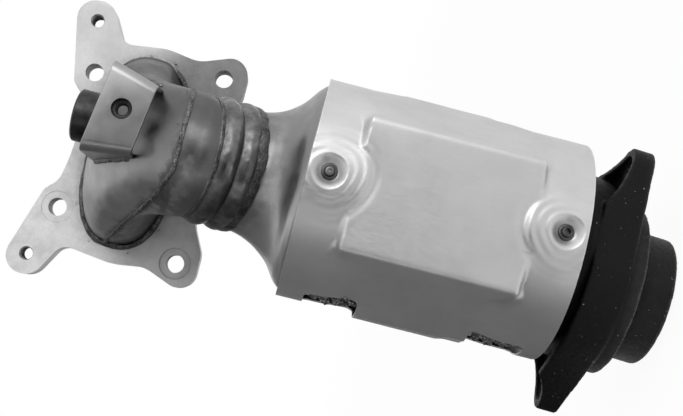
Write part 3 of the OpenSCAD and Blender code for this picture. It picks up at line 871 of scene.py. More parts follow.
def sheet_material(name, value, roughness, stain, bands=(), shade_above=0.0):
    """Pressed stainless sheet with clouds of heat stain, burnt bands beside its welds, and painted shade
    towards +X and in its corners.
    """
    finish, tree, shader = new_finish(name, 1.0)
    cloud = effect(tree, "Clouding", Scale=42.0, Speckle_scale=700.0, Contrast=0.30)
    patch = effect(tree, "Clouding", Scale=150.0, Speckle_scale=2200.0, Contrast=0.34)
    wear = effect(tree, "Edge wear and crevice shade", Reach=0.05)
    grime_and_shade = effect(tree, "Grime and painted shade", Reach=0.007)
    grain = effect(tree, "Grain", Scale=900.0, Stretch=(1.0, 1.0, 0.35))
    tint = blend(tree, cloud["Cloud"], times(value, 1.0 - 0.55 * stain), times(value, 1.0 + 0.35 * stain))
    tint = layer(tree, tint, patch["Cloud"], 0.35, times(value, 1.0 + 0.8 * stain))
    tint = layer(tree, tint, patch["Speckle"], 0.12, times(value, 0.4))
    tint = burn(tree, tint, value, bands)
    # Painted shade: the sheet darkens towards +X.
    tint = painted_shade_above(tree, tint, value, -0.035, 0.018, shade_above)
    # Painted shade in the corners, with some soot and dust.
    tint = layer(tree, tint, grime_and_shade["Mask"], 0.7, times(value, 0.15))
    tint = layer(tree, tint, wear["Mask"], 0.6, times(value, 2.4))
    dull = spread(tree, patch["Cloud"], 0.0, 1.0, roughness - 0.04, roughness + 0.08)
    dress(tree, shader, tint, dull, grain["Height"], 0.00001)
    return finish


def plate_material(name, value):
    """Sawn and blasted steel plate with dull patches, and painted shade beside the dome, towards +X and in
    its corners.
    """
    finish, tree, shader = new_finish(name, 0.65)
    cloud = effect(tree, "Clouding", Scale=38.0, Speckle_scale=1100.0, Contrast=0.14)
    patch = effect(tree, "Clouding", Scale=150.0, Speckle_scale=2600.0, Contrast=0.22)
    grime_and_shade = effect(tree, "Grime and painted shade", Reach=0.024)
    tint = blend(tree, cloud["Cloud"], times(value, 0.86), times(value, 1.14))
    tint = layer(tree, tint, patch["Cloud"], 0.4, times(value, 1.30))
    # Painted shade: the plate darkens towards -Z and +X, beside the dome, where shade falls.
    side = parts(tree, object_place(tree, 1.0))
    darkened = math_step(tree, "MULTIPLY", spread(tree, side["Z"], -0.020, 0.012, 0.9, 0.0),
                        spread(tree, side["X"], -0.03, 0.03, 0.35, 1.0))
    tint = blend(tree, darkened, tint, times(value, 0.26))
    # Painted shade: the plate darkens towards +X.
    tint = painted_shade_above(tree, tint, value, -0.01, 0.06, 0.22)
    tint = layer(tree, tint, cloud["Speckle"], 0.18, times(value, 0.60))
    # Painted shade in the corners round the dome, with some soot and dust.
    tint = layer(tree, tint, grime_and_shade["Mask"], 0.85, times(value, 0.08))
    dull = spread(tree, patch["Cloud"], 0.0, 1.0, 0.46, 0.62)
    dress(tree, shader, tint, dull, patch["Speckle"], 0.00004)
    return finish


def weld_material(name, value):
    """Oxidised weld metal with bright and sooty specks."""
    finish, tree, shader = new_finish(name, 0.9)
    speck = effect(tree, "Clouding", Scale=900.0, Speckle_scale=2200.0, Contrast=0.16)
    cloud = effect(tree, "Clouding", Scale=160.0, Speckle_scale=500.0, Contrast=0.2)
    wear = effect(tree, "Edge wear and crevice shade", Reach=0.05, Break_up_scale=1500.0)
    tint = blend(tree, cloud["Cloud"], times(value, 0.45), times(value, 1.6))
    tint = layer(tree, tint, speck["Cloud"], 0.5, times(value, 0.25))
    tint = layer(tree, tint, wear["Mask"], 0.55, times(value, 4.5))
    dull = spread(tree, speck["Speckle"], 0.0, 1.0, 0.26, 0.55)
    dress(tree, shader, tint, dull, speck["Cloud"], 0.00014)
    return finish


def turned_material(name, value):
    """Turned and blackened steel."""
    finish, tree, shader = new_finish(name, 1.0)
    cloud = effect(tree, "Clouding", Scale=120.0, Speckle_scale=1800.0, Contrast=0.2)
    grain = effect(tree, "Grain", Scale=5200.0, Stretch=(0.12, 0.12, 1.0))
    grime_and_shade = effect(tree, "Grime and painted shade", Reach=0.004)
    tint = blend(tree, cloud["Cloud"], times(value, 0.7), times(value, 1.5))
    # Painted shade in the corners, with some soot and dust.
    tint = layer(tree, tint, grime_and_shade["Mask"], 0.6, times(value, 0.3))
    dull = spread(tree, cloud["Speckle"], 0.0, 1.0, 0.28, 0.45)
    dress(tree, shader, tint, dull, grain["Height"], 0.00003)
    return finish


def strip_material(name, value):
    """Bright rolled strip with grain along its length."""
    finish, tree, shader = new_finish(name, 1.0)
    cloud = effect(tree, "Clouding", Scale=45.0, Speckle_scale=1500.0, Contrast=0.4)
    grime_and_shade = effect(tree, "Grime and painted shade", Reach=0.006)
    grain = effect(tree, "Grain", Scale=2600.0, Stretch=(0.06, 0.06, 1.0))
    tint = blend(tree, cloud["Cloud"], times(value, 0.85), times(value, 1.15))
    tint = layer(tree, tint, grain["Value"], 0.14, times(value, 0.55))
    tint = layer(tree, tint, cloud["Speckle"], 0.10, times(value, 0.5))
    # Painted shade in the corners, with some soot and dust.
    tint = layer(tree, tint, grime_and_shade["Mask"], 0.7, times(value, 0.2))
    dull = spread(tree, cloud["Cloud"], 0.0, 1.0, 0.30, 0.42)
    dress(tree, shader, tint, dull, grain["Height"], 0.000008)
    return finish


def neck_material(name, value):
    """Rolled tube with painted highlight patches, painted shade in its creases and heat stain."""
    finish, tree, shader = new_finish(name, 1.0)
    patch = effect(tree, "Clouding", Scale=85.0, Speckle_scale=800.0, Contrast=0.12)
    cloud = effect(tree, "Clouding", Scale=260.0, Speckle_scale=2400.0, Contrast=0.18)
    wear = effect(tree, "Edge wear and crevice shade", Reach=0.05)
    grime_and_shade = effect(tree, "Grime and painted shade", Reach=0.005)
    # Painted highlights: broad light patches stand in for light caught on the tube.
    tint = blend(tree, patch["Cloud"], times(value, 0.7), times(value, 1.6))
    tint = layer(tree, tint, cloud["Cloud"], 0.4, times(value, 0.6))
    # Painted shade in the corners, with some soot and dust.
    tint = layer(tree, tint, grime_and_shade["Mask"], 0.8, times(value, 0.12))
    # Painted shade in the creases between the ribs.
    tint = layer(tree, tint, wear["Painted crevice shade"], 0.7, times(value, 0.2))
    tint = layer(tree, tint, wear["Mask"], 0.5, times(value, 3.0))
    dull = spread(tree, cloud["Cloud"], 0.0, 1.0, 0.28, 0.40)
    dress(tree, shader, tint, dull, cloud["Speckle"], 0.00001)
    return finish


def shield_material(name, value):
    """Aluminised sheet with rolling grain, faint clouds and small dark scratches."""
    finish, tree, shader = new_finish(name, 0.9)
    cloud = effect(tree, "Clouding", Scale=30.0, Speckle_scale=1600.0, Contrast=0.22)
    grain = effect(tree, "Grain", Scale=2200.0, Stretch=(1.0, 1.0, 0.10))
    streak = effect(tree, "Grain", Scale=260.0, Stretch=(1.0, 1.0, 0.05))
    scratch = effect(tree, "Grain", Scale=420.0, Stretch=(0.5, 0.5, 0.05))
    wear = effect(tree, "Edge wear and crevice shade", Reach=0.05)
    grime_and_shade = effect(tree, "Grime and painted shade", Reach=0.005)
    tint = blend(tree, cloud["Cloud"], times(value, 0.93), times(value, 1.06))
    tint = layer(tree, tint, grain["Value"], 0.22, times(value, 0.76))
    tint = layer(tree, tint, streak["Height"], 0.10, times(value, 0.80))
    mark = spread(tree, scratch["Value"], 0.70, 0.78)
    tint = layer(tree, tint, mark, 0.35, times(value, 0.45))
    # Painted shade in the corners, with some soot and dust.
    tint = layer(tree, tint, grime_and_shade["Mask"], 0.40, times(value, 0.22))
    tint = layer(tree, tint, wear["Mask"], 0.6, times(value, 1.35))
    dull = spread(tree, grain["Value"], 0.3, 0.7, 0.36, 0.48)
    dress(tree, shader, tint, dull, grain["Height"], 0.000004)
    return finish


def cast_material(name, value):
    """Black cast skin with small bright specks, partly chips of bare metal and partly painted glints, and
    painted shade in its recesses and on its skirt.
    """
    finish, tree, shader = new_finish(name, 0.0)
    shader.inputs["Specular IOR Level"].default_value = 0.16
    cloud = effect(tree, "Clouding", Scale=90.0, Speckle_scale=1300.0, Contrast=0.2)
    chip_and_glint = effect(tree, "Grain", Scale=620.0, Stretch=(1.0, 1.0, 1.0))
    wear = effect(tree, "Edge wear and crevice shade", Reach=0.03, Break_up_scale=700.0)
    grime_and_shade = effect(tree, "Grime and painted shade", Reach=0.030)
    tint = blend(tree, cloud["Cloud"], times(value, 0.7), times(value, 1.4))
    tint = layer(tree, tint, cloud["Speckle"], 0.3, times(value, 2.0))
    # Painted shade in the recesses, such as the gap between the shield and the casting, with some soot.
    tint = layer(tree, tint, grime_and_shade["Mask"], 0.9, times(value, 0.10))
    tint = layer(tree, tint, wear["Mask"], 0.6, times(value, 9.0))
    # Painted shade: the skirt towards the shield is darkened.
    tint = painted_shade_above(tree, tint, value, -0.284, -0.277, 1.0, "Z")
    # Bright specks, partly chips of bare metal and partly painted glints.
    tint = layer(tree, tint, spread(tree, chip_and_glint["Value"], 0.706, 0.730), 0.6, times(value, 30.0))
    dull = spread(tree, cloud["Speckle"], 0.0, 1.0, 0.42, 0.6)
    dress(tree, shader, tint, dull, cloud["Speckle"], 0.00012)
    return finish


def fibre_material(name, value):
    """Pressed mineral fibre."""
    finish, tree, shader = new_finish(name, 0.0)
    strand = effect(tree, "Grain", Scale=2200.0, Stretch=(1.0, 1.0, 0.15))
    cloud = effect(tree, "Clouding", Scale=80.0, Speckle_scale=1500.0, Contrast=0.25)
    tint = blend(tree, cloud["Cloud"], times(value, 0.8), times(value, 1.1))
    tint = layer(tree, tint, strand["Height"], 0.4, times(value, 0.6))
    dress(tree, shader, tint, 0.95, strand["Height"], 0.0003)
    return finish


CELL_PITCH = 0.00127
WALL_SHARE = 0.22


def ceramic_material(name, value):
    """Coated ceramic with square cells on its end faces, painted dark as the shade inside them."""
    finish, tree, shader = new_finish(name, 0.0)
    cloud = effect(tree, "Clouding", Scale=60.0, Speckle_scale=1800.0, Contrast=0.25)
    place = parts(tree, object_place(tree, 1 / CELL_PITCH))
    holes = []
    for axis in ("X", "Y"):
        step = math_step(tree, "FRACT", place[axis], 0.0)
        middle = math_step(tree, "ABSOLUTE", math_step(tree, "SUBTRACT", step, 0.5), 0.0)
        holes.append(spread(tree, middle, 0.5 - WALL_SHARE, 0.5 - 0.6 * WALL_SHARE, 1.0, 0.0))
    facing = parts(tree, tree.nodes.new("ShaderNodeNewGeometry").outputs["Normal"])
    end_face = spread(tree, math_step(tree, "ABSOLUTE", facing["Z"], 0.0), 0.6, 0.9)
    hole = math_step(tree, "MULTIPLY", math_step(tree, "MULTIPLY", holes[0], holes[1]), end_face)
    tint = blend(tree, cloud["Cloud"], times(value, 0.8), times(value, 1.1))
    # Painted shade: the open cells are painted dark as the shade inside them.
    tint = blend(tree, hole, tint, times(value, 0.05))
    dress(tree, shader, tint, 0.9, math_step(tree, "SUBTRACT", 1.0, hole), 0.0006)
    return finish


# Collector


# Steps between two rows of the table and points in a ring, for the skin, a cutter and a finder
SKIN_STEPS = (14, 200)
CUTTER_STEPS = (6, 120)
FINDER_STEPS = (9, 180)


def collector_stack(grow, steps, count):
    """Rings of the collector from the flange to the neck."""
    c = bpy.context.scene.collector_sizes
    rings = []
    for far, fall, turn, narrow, rise in smooth_rows(COLLECTOR_SHARES, steps):
        y = -c.flange_t - far * (c.neck_y - c.flange_t)
        z = c.port_z - fall * (c.neck_z + c.port_z)
        rings.append(ring(
            (0, y, z),
            turn * (math.pi / 2 + c.neck_lean),
            c.half_w + narrow * (c.neck_r - c.half_w) + grow,
            c.half_h + rise * (c.neck_r - c.half_h) + grow,
            PORT_SQUARENESS + narrow * (ROUND_SQUARENESS - PORT_SQUARENESS),
            count))
    return np.array(rings)


# Share of the length at each end that stays free of dents
CALM_SHARE = 0.06
# Sizes of the dents and of the press marks
DENT_SIZE = 0.026
MARK_SIZE = 0.006
# Windows as start, rise, end, fall: degrees around the dome's far side, shares of its length
FAR_SIDE = (-30, 22, 76, 34)
BOXY_SHARES = (0.045, 0.045, 0.46, 0.20)
# Shares of the length: middle and half width of the lip, and reach of the roll
LIP_SHARE = 0.105
LIP_HALF = 0.011
ROLL_SHARE = 0.085


def collector_relief(stack):
    """Soft dents, a folded lip beside the flange and an end that rolls in towards the neck."""
    c = bpy.context.scene.collector_sizes
    normals = stack_normals(stack)
    rows, count = stack.shape[:2]
    moved = stack.copy()
    for j in range(rows):
        t = j / (rows - 1)
        calm = window(t, 0, CALM_SHARE, 1, CALM_SHARE)
        for i in range(count):
            a = 360 * i / count
            a = a - 360 if a > 180 else a
            p = stack[j, i]
            dent = -abs(rough(p, DENT_SIZE, 3.0, 2)) * c.dent_h
            dent += 0.25 * c.dent_h * rough(p, MARK_SIZE, 7.0, 3)
            sector = window(a, *FAR_SIDE)
            lip = c.fold_h * sector * math.exp(-((t - LIP_SHARE) / LIP_HALF) ** 2)
            lip += c.box_h * sector * window(t, *BOXY_SHARES)
            roll = -c.roll_h * (1 - ease((1 - t) / ROLL_SHARE))
            moved[j, i] = p + normals[j, i] * (calm * dent + lip + roll)
    return moved


def collector_skin(name):
    """The whole sheet of the collector."""
    c = bpy.context.scene.collector_sizes
    outer = collector_relief(collector_stack(0, *SKIN_STEPS))
    inner = collector_stack(-c.wall, *SKIN_STEPS)
    return made_mesh(name, *thick_tube(outer, inner))


def collector_block(name):
    """The filled form of the collector."""
    stack = collector_stack(0, *CUTTER_STEPS)
    return made_mesh(name, stack.reshape(-1, 3), capped(*stack.shape[:2]))


def plane_normal(nod, roll):
    turn = Matrix.Rotation(math.radians(roll), 3, "Y") @ Matrix.Rotation(math.radians(nod), 3, "X")
    return turn @ Vector((0, 0, 1))


SEAM_DEPTH = 0.024
SEAM_DROP = 0.005
SEAM_PLANES = ((plane_normal(15.7, 15), 0.0), (plane_normal(5.7, 0), -SEAM_DROP))


def seam_base():
    """The point on the body axis from which the planes of the seam are measured."""
    return Vector((0, -bpy.context.scene.body_sizes.axis_y, -SEAM_DEPTH))


def seam_side(point):
    """Above zero on the dome's side of the seam."""
    base = seam_base()
    return min(normal.dot(Vector(point) - base) - shift for normal, shift in SEAM_PLANES)


def seam_block(name):
    """The space on the dome's side of the seam as a solid."""
    reach = 0.3
    base = seam_base()
    bm = bmesh.new()
    bmesh.ops.create_cube(bm, size=2 * reach)
    for normal, shift in SEAM_PLANES:
        geometry = list(bm.verts) + list(bm.edges) + list(bm.faces)
        result = bmesh.ops.bisect_plane(bm, geom=geometry, plane_co=base + normal * shift,
                                        plane_no=normal, clear_inner=True)
        rim = [e for e in result["geom_cut"] if isinstance(e, bmesh.types.BMEdge)]
        bmesh.ops.contextual_create(bm, geom=rim)
    bmesh.ops.recalc_face_normals(bm, faces=bm.faces)
    mesh = bpy.data.meshes.new(name)
    bm.to_mesh(mesh)
    bm.free()
    return linked(name, mesh)


def seam_crossings():
    """Where the lines of the collector's skin cross the seam, with normals."""
    stack = collector_stack(0, *FINDER_STEPS)
    normals = stack_normals(stack)
    rows, count = stack.shape[:2]
    sides = np.array([[seam_side(p) for p in row] for row in stack])
    found = []
    for j in range(rows - 1):
        for i in range(count):
            for other in ((j + 1, i), (j, (i + 1) % count)):
                here, there = sides[j, i], sides[other]
                if here * there < 0:
                    t = here / (here - there)
                    p = Vector(stack[j, i]).lerp(Vector(stack[other]), t)
                    n = Vector(normals[j, i]).lerp(Vector(normals[other]), t)
                    found.append((p, n.normalized()))
    return found


def seam_path():
    """Points of the collector's seam in order, with normals, from the right end at the flange."""
    start_y = -bpy.context.scene.collector_sizes.flange_t - 0.0025
    left = [row for row in seam_crossings() if row[0].y < start_y]
    here = max((row for row in left if row[0].x > 0), key=lambda row: row[0].y)
    path = []
    while here is not None:
        path.append(here)
        left = [row for row in left if (row[0] - here[0]).length > 0.0009]
        near = [row for row in left if (row[0] - here[0]).length < 0.010]
        here = min(near, key=lambda row: (row[0] - path[-1][0]).length) if near else None
    return [p for p, _ in path], [n for _, n in path]


def collector_tree():
    """The collector's outer skin, to find places on it."""
    stack = collector_stack(0, *FINDER_STEPS)
    rows, count = stack.shape[:2]
    points = [Vector(p) for p in stack.reshape(-1, 3)]
    return BVHTree.FromPolygons(points, quads(rows, count))


class CONVERTER_OT_collector(bpy.types.Operator):
    """Build the pressed dome and elbow of the collector"""

    bl_idname = "converter.collector"
    bl_label = "Collector"

    def execute(self, context):
        boss = context.scene.boss_sizes
        tones = context.scene.finish_tones
        flange_face = Vector((0, -context.scene.collector_sizes.flange_t, 0))
        bands = [(seam_base() + normal * shift, normal, 0.0050, 0.7) for normal, shift in SEAM_PLANES]
        bands.append((flange_face, Vector((0, 1, 0)), 0.009, 0.7))
        neck = neck_matrix()
        bands.append((neck.to_translation(), neck.to_3x3() @ Vector((0, 0, 1)), 0.020, 0.6))
        # The collector's sheet carries painted shade towards +X and in its corners as well as heat stain.
        darkened = sheet_material("collector_sheet", tones.dome, 0.38, 0.5, bands, 0.92)
        dome = collector_skin("dome_shell")
        elbow = collector_skin("elbow_shell")
        block = seam_block("seam_block")
        cut(dome, block, "INTERSECT", keep=True)
        cut(elbow, block, "DIFFERENCE")
        place = Matrix.Translation((boss.x, -boss.y, 0))
        cut(dome, rod("bore", place, boss.bore_r, 0, boss.top + 0.01))
        finish_piece(dome, ["collector_dome"], darkened)
        finish_piece(elbow, ["collector_elbow"], darkened)
        return {"FINISHED"}


# Beads: width, height
BOSS_BEAD = (0.0042, 0.0016)
STRAP_BEAD = (0.0032, 0.0011)
CREASE_BEAD = (0.0018, 0.0003)
NECK_BEAD = (0.0072, 0.0008)


class CONVERTER_OT_collector_welds(bpy.types.Operator):
    """Build the welds of the collector, the boss and the bracket"""

    bl_idname = "converter.collector_welds"
    bl_label = "Collector welds"

    def execute(self, context):
        weld = weld_material("weld_metal", context.scene.finish_tones.weld)
        self.seam(context, weld)
        self.flange(context, weld)
        self.boss(context, weld)
        self.bracket(context, weld)
        return {"FINISHED"}

    def seam(self, context, weld):
        c = context.scene.collector_sizes
        points, normals = seam_path()
        lumps = [bead(points, normals, c.weld_w, c.weld_h, seed=1.0, lumpy=0.40)]
        drops = [p + Vector((0, 0, 0.004)) for p in points[10::23]]
        lumps += spatter(drops, normals[10::23], 0.0004, 1.0)
        piece = join_lumps("seam_bead", lumps)
        finish_piece(piece, ["collector_seam_weld"], weld, WELD_SHARP_TURN)

    def flange(self, context, weld):
        c = context.scene.collector_sizes
        stack = collector_stack(0.0012, 3, 220)
        base = stack[0]
        out = base - base.mean(axis=0)
        out[:, 1] = 0
        out /= np.linalg.norm(out, axis=1, keepdims=True)
        normals = out * 0.62 + np.array([0, -0.78, 0])
        points = base + np.array([0, -0.0006, 0])
        width, height = 1.3 * c.weld_w, 1.1 * c.weld_h
        lumps = [bead(points, normals, width, height, closed=True, seed=4.0, lumpy=0.35)]
        spots = [points[i] + out[i] * 0.0042 for i in range(5, 220, 23)]
        lumps += spatter(spots, [Vector((0, -1, 0))] * len(spots), 0.0005, 2.0)
        piece = join_lumps("flange_bead", lumps)
        finish_piece(piece, ["flange_weld"], weld, WELD_SHARP_TURN)

    def boss(self, context, weld):
        b = context.scene.boss_sizes
        tree = collector_tree()
        points, normals = [], []
        for t in circle(90):
            out = spoke(t)
            start = Vector((b.x, -b.y, b.top + 0.02)) + out * (b.radius + 0.0006)
            hit, normal, _, _ = tree.ray_cast(start, Vector((0, 0, -1)))
            if hit is not None:
                points.append(hit)
                normals.append((out + Vector((0, 0, 1))).normalized())
        piece = join_lumps("boss_bead", [bead(points, normals, *BOSS_BEAD, closed=True, seed=6.0)])
        finish_piece(piece, ["sensor_boss_weld"], weld, WELD_SHARP_TURN)

    def bracket(self, context, weld):
        s = context.scene.strap_sizes
        tree = collector_tree()
        turn = strap_matrix()
        lumps = []
        for x, out in ((-s.low_x - 0.0006, -1), (s.high_x + s.splay * 0.9 + 0.0006, 1)):
            points, normals = [], []
            for i in range(31):
                z = s.width * (-0.42 + 0.84 * i / 30)
                start = turn @ Vector((x + strap_shift(out, 2 * z / s.width), -0.2, z))
                hit, normal, _, _ = tree.ray_cast(start, Vector((0, 1, 0)))
                if hit is not None:
                    points.append(hit)
                    side = turn.to_3x3() @ Vector((out, 0, 0))
                    normals.append((side + normal * (1 if normal.y < 0 else -1)).normalized())
            if len(points) > 3:
                lumps.append(bead(points, normals, *STRAP_BEAD, seed=8.0 + out, lumpy=0.3))
        piece = join_lumps("bracket_beads", lumps)
        finish_piece(piece, ["bracket_welds"], weld, WELD_SHARP_TURN)


# Flange, boss and bracket


HOLE_R = 0.0055
SPOT_R = 0.0096
SPOT_DEPTH = 0.0011
SHALLOW_DEPTH = 0.00025
PLAIN_HOLE = (0.0585, -0.0375)
SHALLOW_HOLE = (-0.0425, 0.0395)
TAPPED_HOLES = ((0.074, 0.046), (-0.074, 0.050))
# Threads: radius of the hole, pitch, depth
TAPPED_THREAD = (0.0042, 0.00125, 0.0006)
NUT_THREAD = (0.0034, 0.001, 0.0005)


class CONVERTER_OT_inlet_flange(bpy.types.Operator):
    """Build the inlet flange with broken edges and threads in its tapped holes"""

    bl_idname = "converter.inlet_flange"
    bl_label = "Inlet flange"

    def execute(self, context):
        c = context.scene.collector_sizes
        plate = plate_material("flange_plate", context.scene.finish_tones.plate)
        piece = cad_copy("inlet_flange", "flange_plate", 0)
        front = Matrix.Rotation(math.pi / 2, 4, "X")
        filled = front @ Matrix.Translation((*PLAIN_HOLE, 0))
        floor = c.flange_t - SPOT_DEPTH
        cut(piece, rod("spot_fill", filled, SPOT_R + 0.0002, floor, c.flange_t, 96), "UNION")
        cut(piece, rod("plain_hole", filled, HOLE_R, -0.001, c.flange_t + 0.001, 96))
        shallow = front @ Matrix.Translation((*SHALLOW_HOLE, 0))
        floor = c.flange_t - SHALLOW_DEPTH
        cut(piece, rod("shallow_spot", shallow, SPOT_R, floor, c.flange_t + 0.001, 96))
        break_edges(piece, 0.0005)
        lumps = []
        for hole in TAPPED_HOLES:
            place = front @ Matrix.Translation((*hole, 0))
            lumps.append(thread(place, *TAPPED_THREAD, 0.0012, c.flange_t - 0.0012))
        add_lumps(piece, lumps)
        finish_piece(piece, ["inlet_flange"], plate, 50, flat=True)
        return {"FINISHED"}


class CONVERTER_OT_sensor_boss(bpy.types.Operator):
    """Build the turned sensor boss with its thread"""

    bl_idname = "converter.sensor_boss"
    bl_label = "Sensor boss"

    def execute(self, context):
        b = context.scene.boss_sizes
        black = turned_material("boss_steel", context.scene.finish_tones.boss)
        piece = cad_copy("sensor_boss", "boss_turned", 0.0004)
        place = Matrix.Translation((b.x, -b.y, 0))
        add_lumps(piece, [thread(place, b.bore_r, 0.0015, 0.0007, b.top - 0.010, b.top - 0.0015)])
        finish_piece(piece, ["sensor_boss"], black, 50, flat=True)
        return {"FINISHED"}


class CONVERTER_OT_bracket(bpy.types.Operator):
    """Build the bent strap and its weld nut"""

    bl_idname = "converter.bracket"
    bl_label = "Cover bracket"

    def execute(self, context):
        s = context.scene.strap_sizes
        tones = context.scene.finish_tones
        strip = strip_material("strap_strip", tones.strap)
        strap = self.strap(s)
        cut(strap, collector_block("collector_block"))
        hole = strap_hole_matrix()
        cut(strap, rod("strap_hole", hole, s.hole_r, -0.002, 2 * s.thickness, 64))
        finish_piece(strap, ["cover_bracket"], strip, 30)
        nut = cad_copy("bracket_nut", "strap_nut", 0.0005)
        add_lumps(nut, [thread(hole, *NUT_THREAD, s.thickness + 0.0007, s.thickness + 0.0058)])
        finish_piece(nut, ["bracket_nut"], turned_material("nut_steel", tones.boss), 30)
        return {"FINISHED"}

    def strap(self, s):
        """The bent strip, swept along its middle line, with bends that aren't quite parallel."""
        half_t, half_w, soft = s.thickness / 2, s.width / 2, 0.0005
        corners = ((-s.low_x + half_t, -s.foot_y), (-s.low_x + half_t, -s.face_y + half_t),
                   (s.high_x - half_t, -s.face_y + half_t), (s.high_x + s.splay - half_t, -s.foot_y))
        path = [Vector(corners[0])]
        for before, corner, after in zip(corners, corners[1:], corners[2:]):
            path.extend(rounded_corner(Vector(before), Vector(corner), Vector(after), s.bend_r))
        path.append(Vector(corners[3]))
        outline = []
        for side_z, side_t, start in ((1, 1, 0), (-1, 1, 90), (-1, -1, 180), (1, -1, 270)):
            outline += quarter(side_z * (half_w - soft), side_t * (half_t - soft), soft, start, 4)
        turn = strap_matrix()
        points = []
        for i, p in enumerate(path):
            along = (path[min(i + 1, len(path) - 1)] - path[max(i - 1, 0)]).normalized()
            out = Vector((-along.y, along.x))
            high = min(max((p.x + s.low_x) / (s.high_x + s.low_x), 0), 1)
            for z, t in outline:
                shift = strap_shift(2 * high - 1, z / half_w)
                points.append(turn @ Vector((p.x + out.x * t + shift, p.y + out.y * t, z)))
        return made_mesh("strap_bent", points, capped(len(path), len(outline)))


# Neck and cone


# Length at each end of the neck tube that stays free of dents
NECK_RIM = 0.003
# Part of the cone with dents, as shares of its length: start, rise, end, fall
CONE_DENTS = (0, 0.06, 0.86, 0.10)


class CONVERTER_OT_neck(bpy.types.Operator):
    """Build the ribbed neck tube and the welds at its ends"""

    bl_idname = "converter.neck"
    bl_label = "Neck"

    def execute(self, context):
        c = context.scene.collector_sizes
        tones = context.scene.finish_tones
        place = neck_matrix()
        outer = [(c.neck_r + row[1] * c.rib_h, row[0] * c.neck_l) for row in smooth_rows(RIB_SHARES, 6)]
        last_r = c.neck_r - 0.25 * c.rib_h - c.wall
        profile = outer + [(last_r, c.neck_l), (c.neck_r - c.wall, 0)]

        def dents(p, r, z):
            if r < c.neck_r - 0.6 * c.wall:
                return 0.0
            edge = window(z, 0, NECK_RIM, c.neck_l, NECK_RIM)
            return edge * (-abs(rough(p, 0.018, 11.0, 2)) * 0.0004 + 0.00012 * rough(p, 0.004, 12.0, 3))

        piece = join_lumps("neck_ribbed", [turned(profile, place, 200, dents)])
        finish_piece(piece, ["neck_tube"], neck_material("neck_sheet", tones.neck), 40)
        weld = weld_material("burnt_weld", 0.85 * np.array(tones.weld))
        self.bead_ring(place, c.neck_r - 0.40 * c.rib_h, 0.0006, CREASE_BEAD, "crease_bead",
                       ["elbow_neck_weld"], weld, 21.0)
        self.bead_ring(place, c.neck_r + 0.30 * c.rib_h, c.neck_l - 0.0012, NECK_BEAD, "neck_bead",
                       ["neck_cone_weld"], weld, 23.0)
        return {"FINISHED"}

    def bead_ring(self, place, radius, z, size, name, nodes, weld, seed):
        """A weld all the way around the neck."""
        points = [place @ spoke(t, radius, z) for t in circle(160)]
        normals = [place.to_3x3() @ spoke(t) for t in circle(160)]
        piece = join_lumps(name, [bead(points, normals, *size, closed=True, seed=seed, lumpy=0.16)])
        finish_piece(piece, nodes, weld, WELD_SHARP_TURN)


class CONVERTER_OT_inlet_cone(bpy.types.Operator):
    """Build the flared inlet cone"""

    bl_idname = "converter.inlet_cone"
    bl_label = "Inlet cone"

    def execute(self, context):
        c = context.scene.collector_sizes
        b = context.scene.body_sizes
        outer = self.stack(c, b, 0)
        normals = stack_normals(outer)
        rows, count = outer.shape[:2]
        for j in range(rows):
            t = j / (rows - 1)
            calm = window(t, *CONE_DENTS)
            for i in range(count):
                p = outer[j, i]
                dent = -abs(rough(p, 0.030, 15.0, 2)) * 0.0005
                hoop = -0.00005 * (1 + math.sin(2 * math.pi * t * 4 + 1.5 * rough(p, 0.05, 16.0, 2)))
                outer[j, i] = p + normals[j, i] * calm * (dent + hoop)
        piece = made_mesh("cone_flared", *thick_tube(outer, self.stack(c, b, -c.wall)))
        place = neck_matrix()
        bands = [(place @ Vector((0, 0, c.neck_l)), place.to_3x3() @ Vector((0, 0, 1)), 0.012, 0.5)]
        # The cone's sheet carries painted shade towards +X and in its corners.
        cone = sheet_material("cone_sheet", context.scene.finish_tones.cone, 0.34, 0.12, bands, 0.65)
        finish_piece(piece, ["inlet_cone"], cone)
        return {"FINISHED"}

    def stack(self, c, b, grow):
        end_y = c.neck_y - c.neck_l * math.sin(c.neck_lean)
        end_z = c.neck_z + c.neck_l * math.cos(c.neck_lean)
        end_r = c.neck_r - 0.25 * c.rib_h
        start = math.pi / 2 + c.neck_lean
        rings = []
        for fall, shift, turn, growth in smooth_rows(CONE_SHARES, 8):
            radius = end_r + min(growth, 1) * (b.can_r - end_r) + grow
            place = (0, -end_y + shift * (end_y - b.axis_y), -end_z - fall * (b.can_top - end_z))
            nod = start + turn * (math.pi / 2 - start)
            rings.append(ring(place, nod, radius, radius, ROUND_SQUARENESS, 180))
        return np.array(rings)


# Heat shield


FRONT_TURN = -85.5
PAD_SHIFT = -2.2
FACET_TURN = 62
SIDE_TURN = 94
EDGE_ROUND = 90
PAD_SHARES = (0.165, 0.815)
PAD_EDGE = 0.0040
FACET_SOFT = 4.5
SIDE_SHARES = (0.27, 0.66)
SIDE_EDGE = 0.006
DIMPLE_SHARES = (0.075, 0.925)
DIMPLE_FLOOR_SHARE = 0.47
NOTCH_SHARES = ((0.10, 0.30), (0.72, 0.93))
NOTCH_FRONT = 0.024
NOTCH_REAR = 0.014
NOTCH_ROUND = 0.005
FLAP_GAP_TURN = 0.6
SEAT_GAP = 0.00005
# Turns from the pad's middle where its end edges begin to soften, and over which they do
PAD_SOFT_TURNS = (29.0, 12.0)
STUD_HOLE_R = 0.0028
# Halves: piece, node, turn from the front, steps along it, steps around it
SHIELD_HALVES = (
    ("shield_face", "shield_front", 0, 168, 190),
    ("shield_back", "shield_rear", 180, 120, 130),
)
# Creases in the corners of the front pad: share of the length, turn, half length, depth
CREASES = ((0.166, -36.0, 0.0045, 0.0007), (0.822, -32.0, 0.0040, 0.0006), (0.818, 30.0, 0.0060, 0.0006))


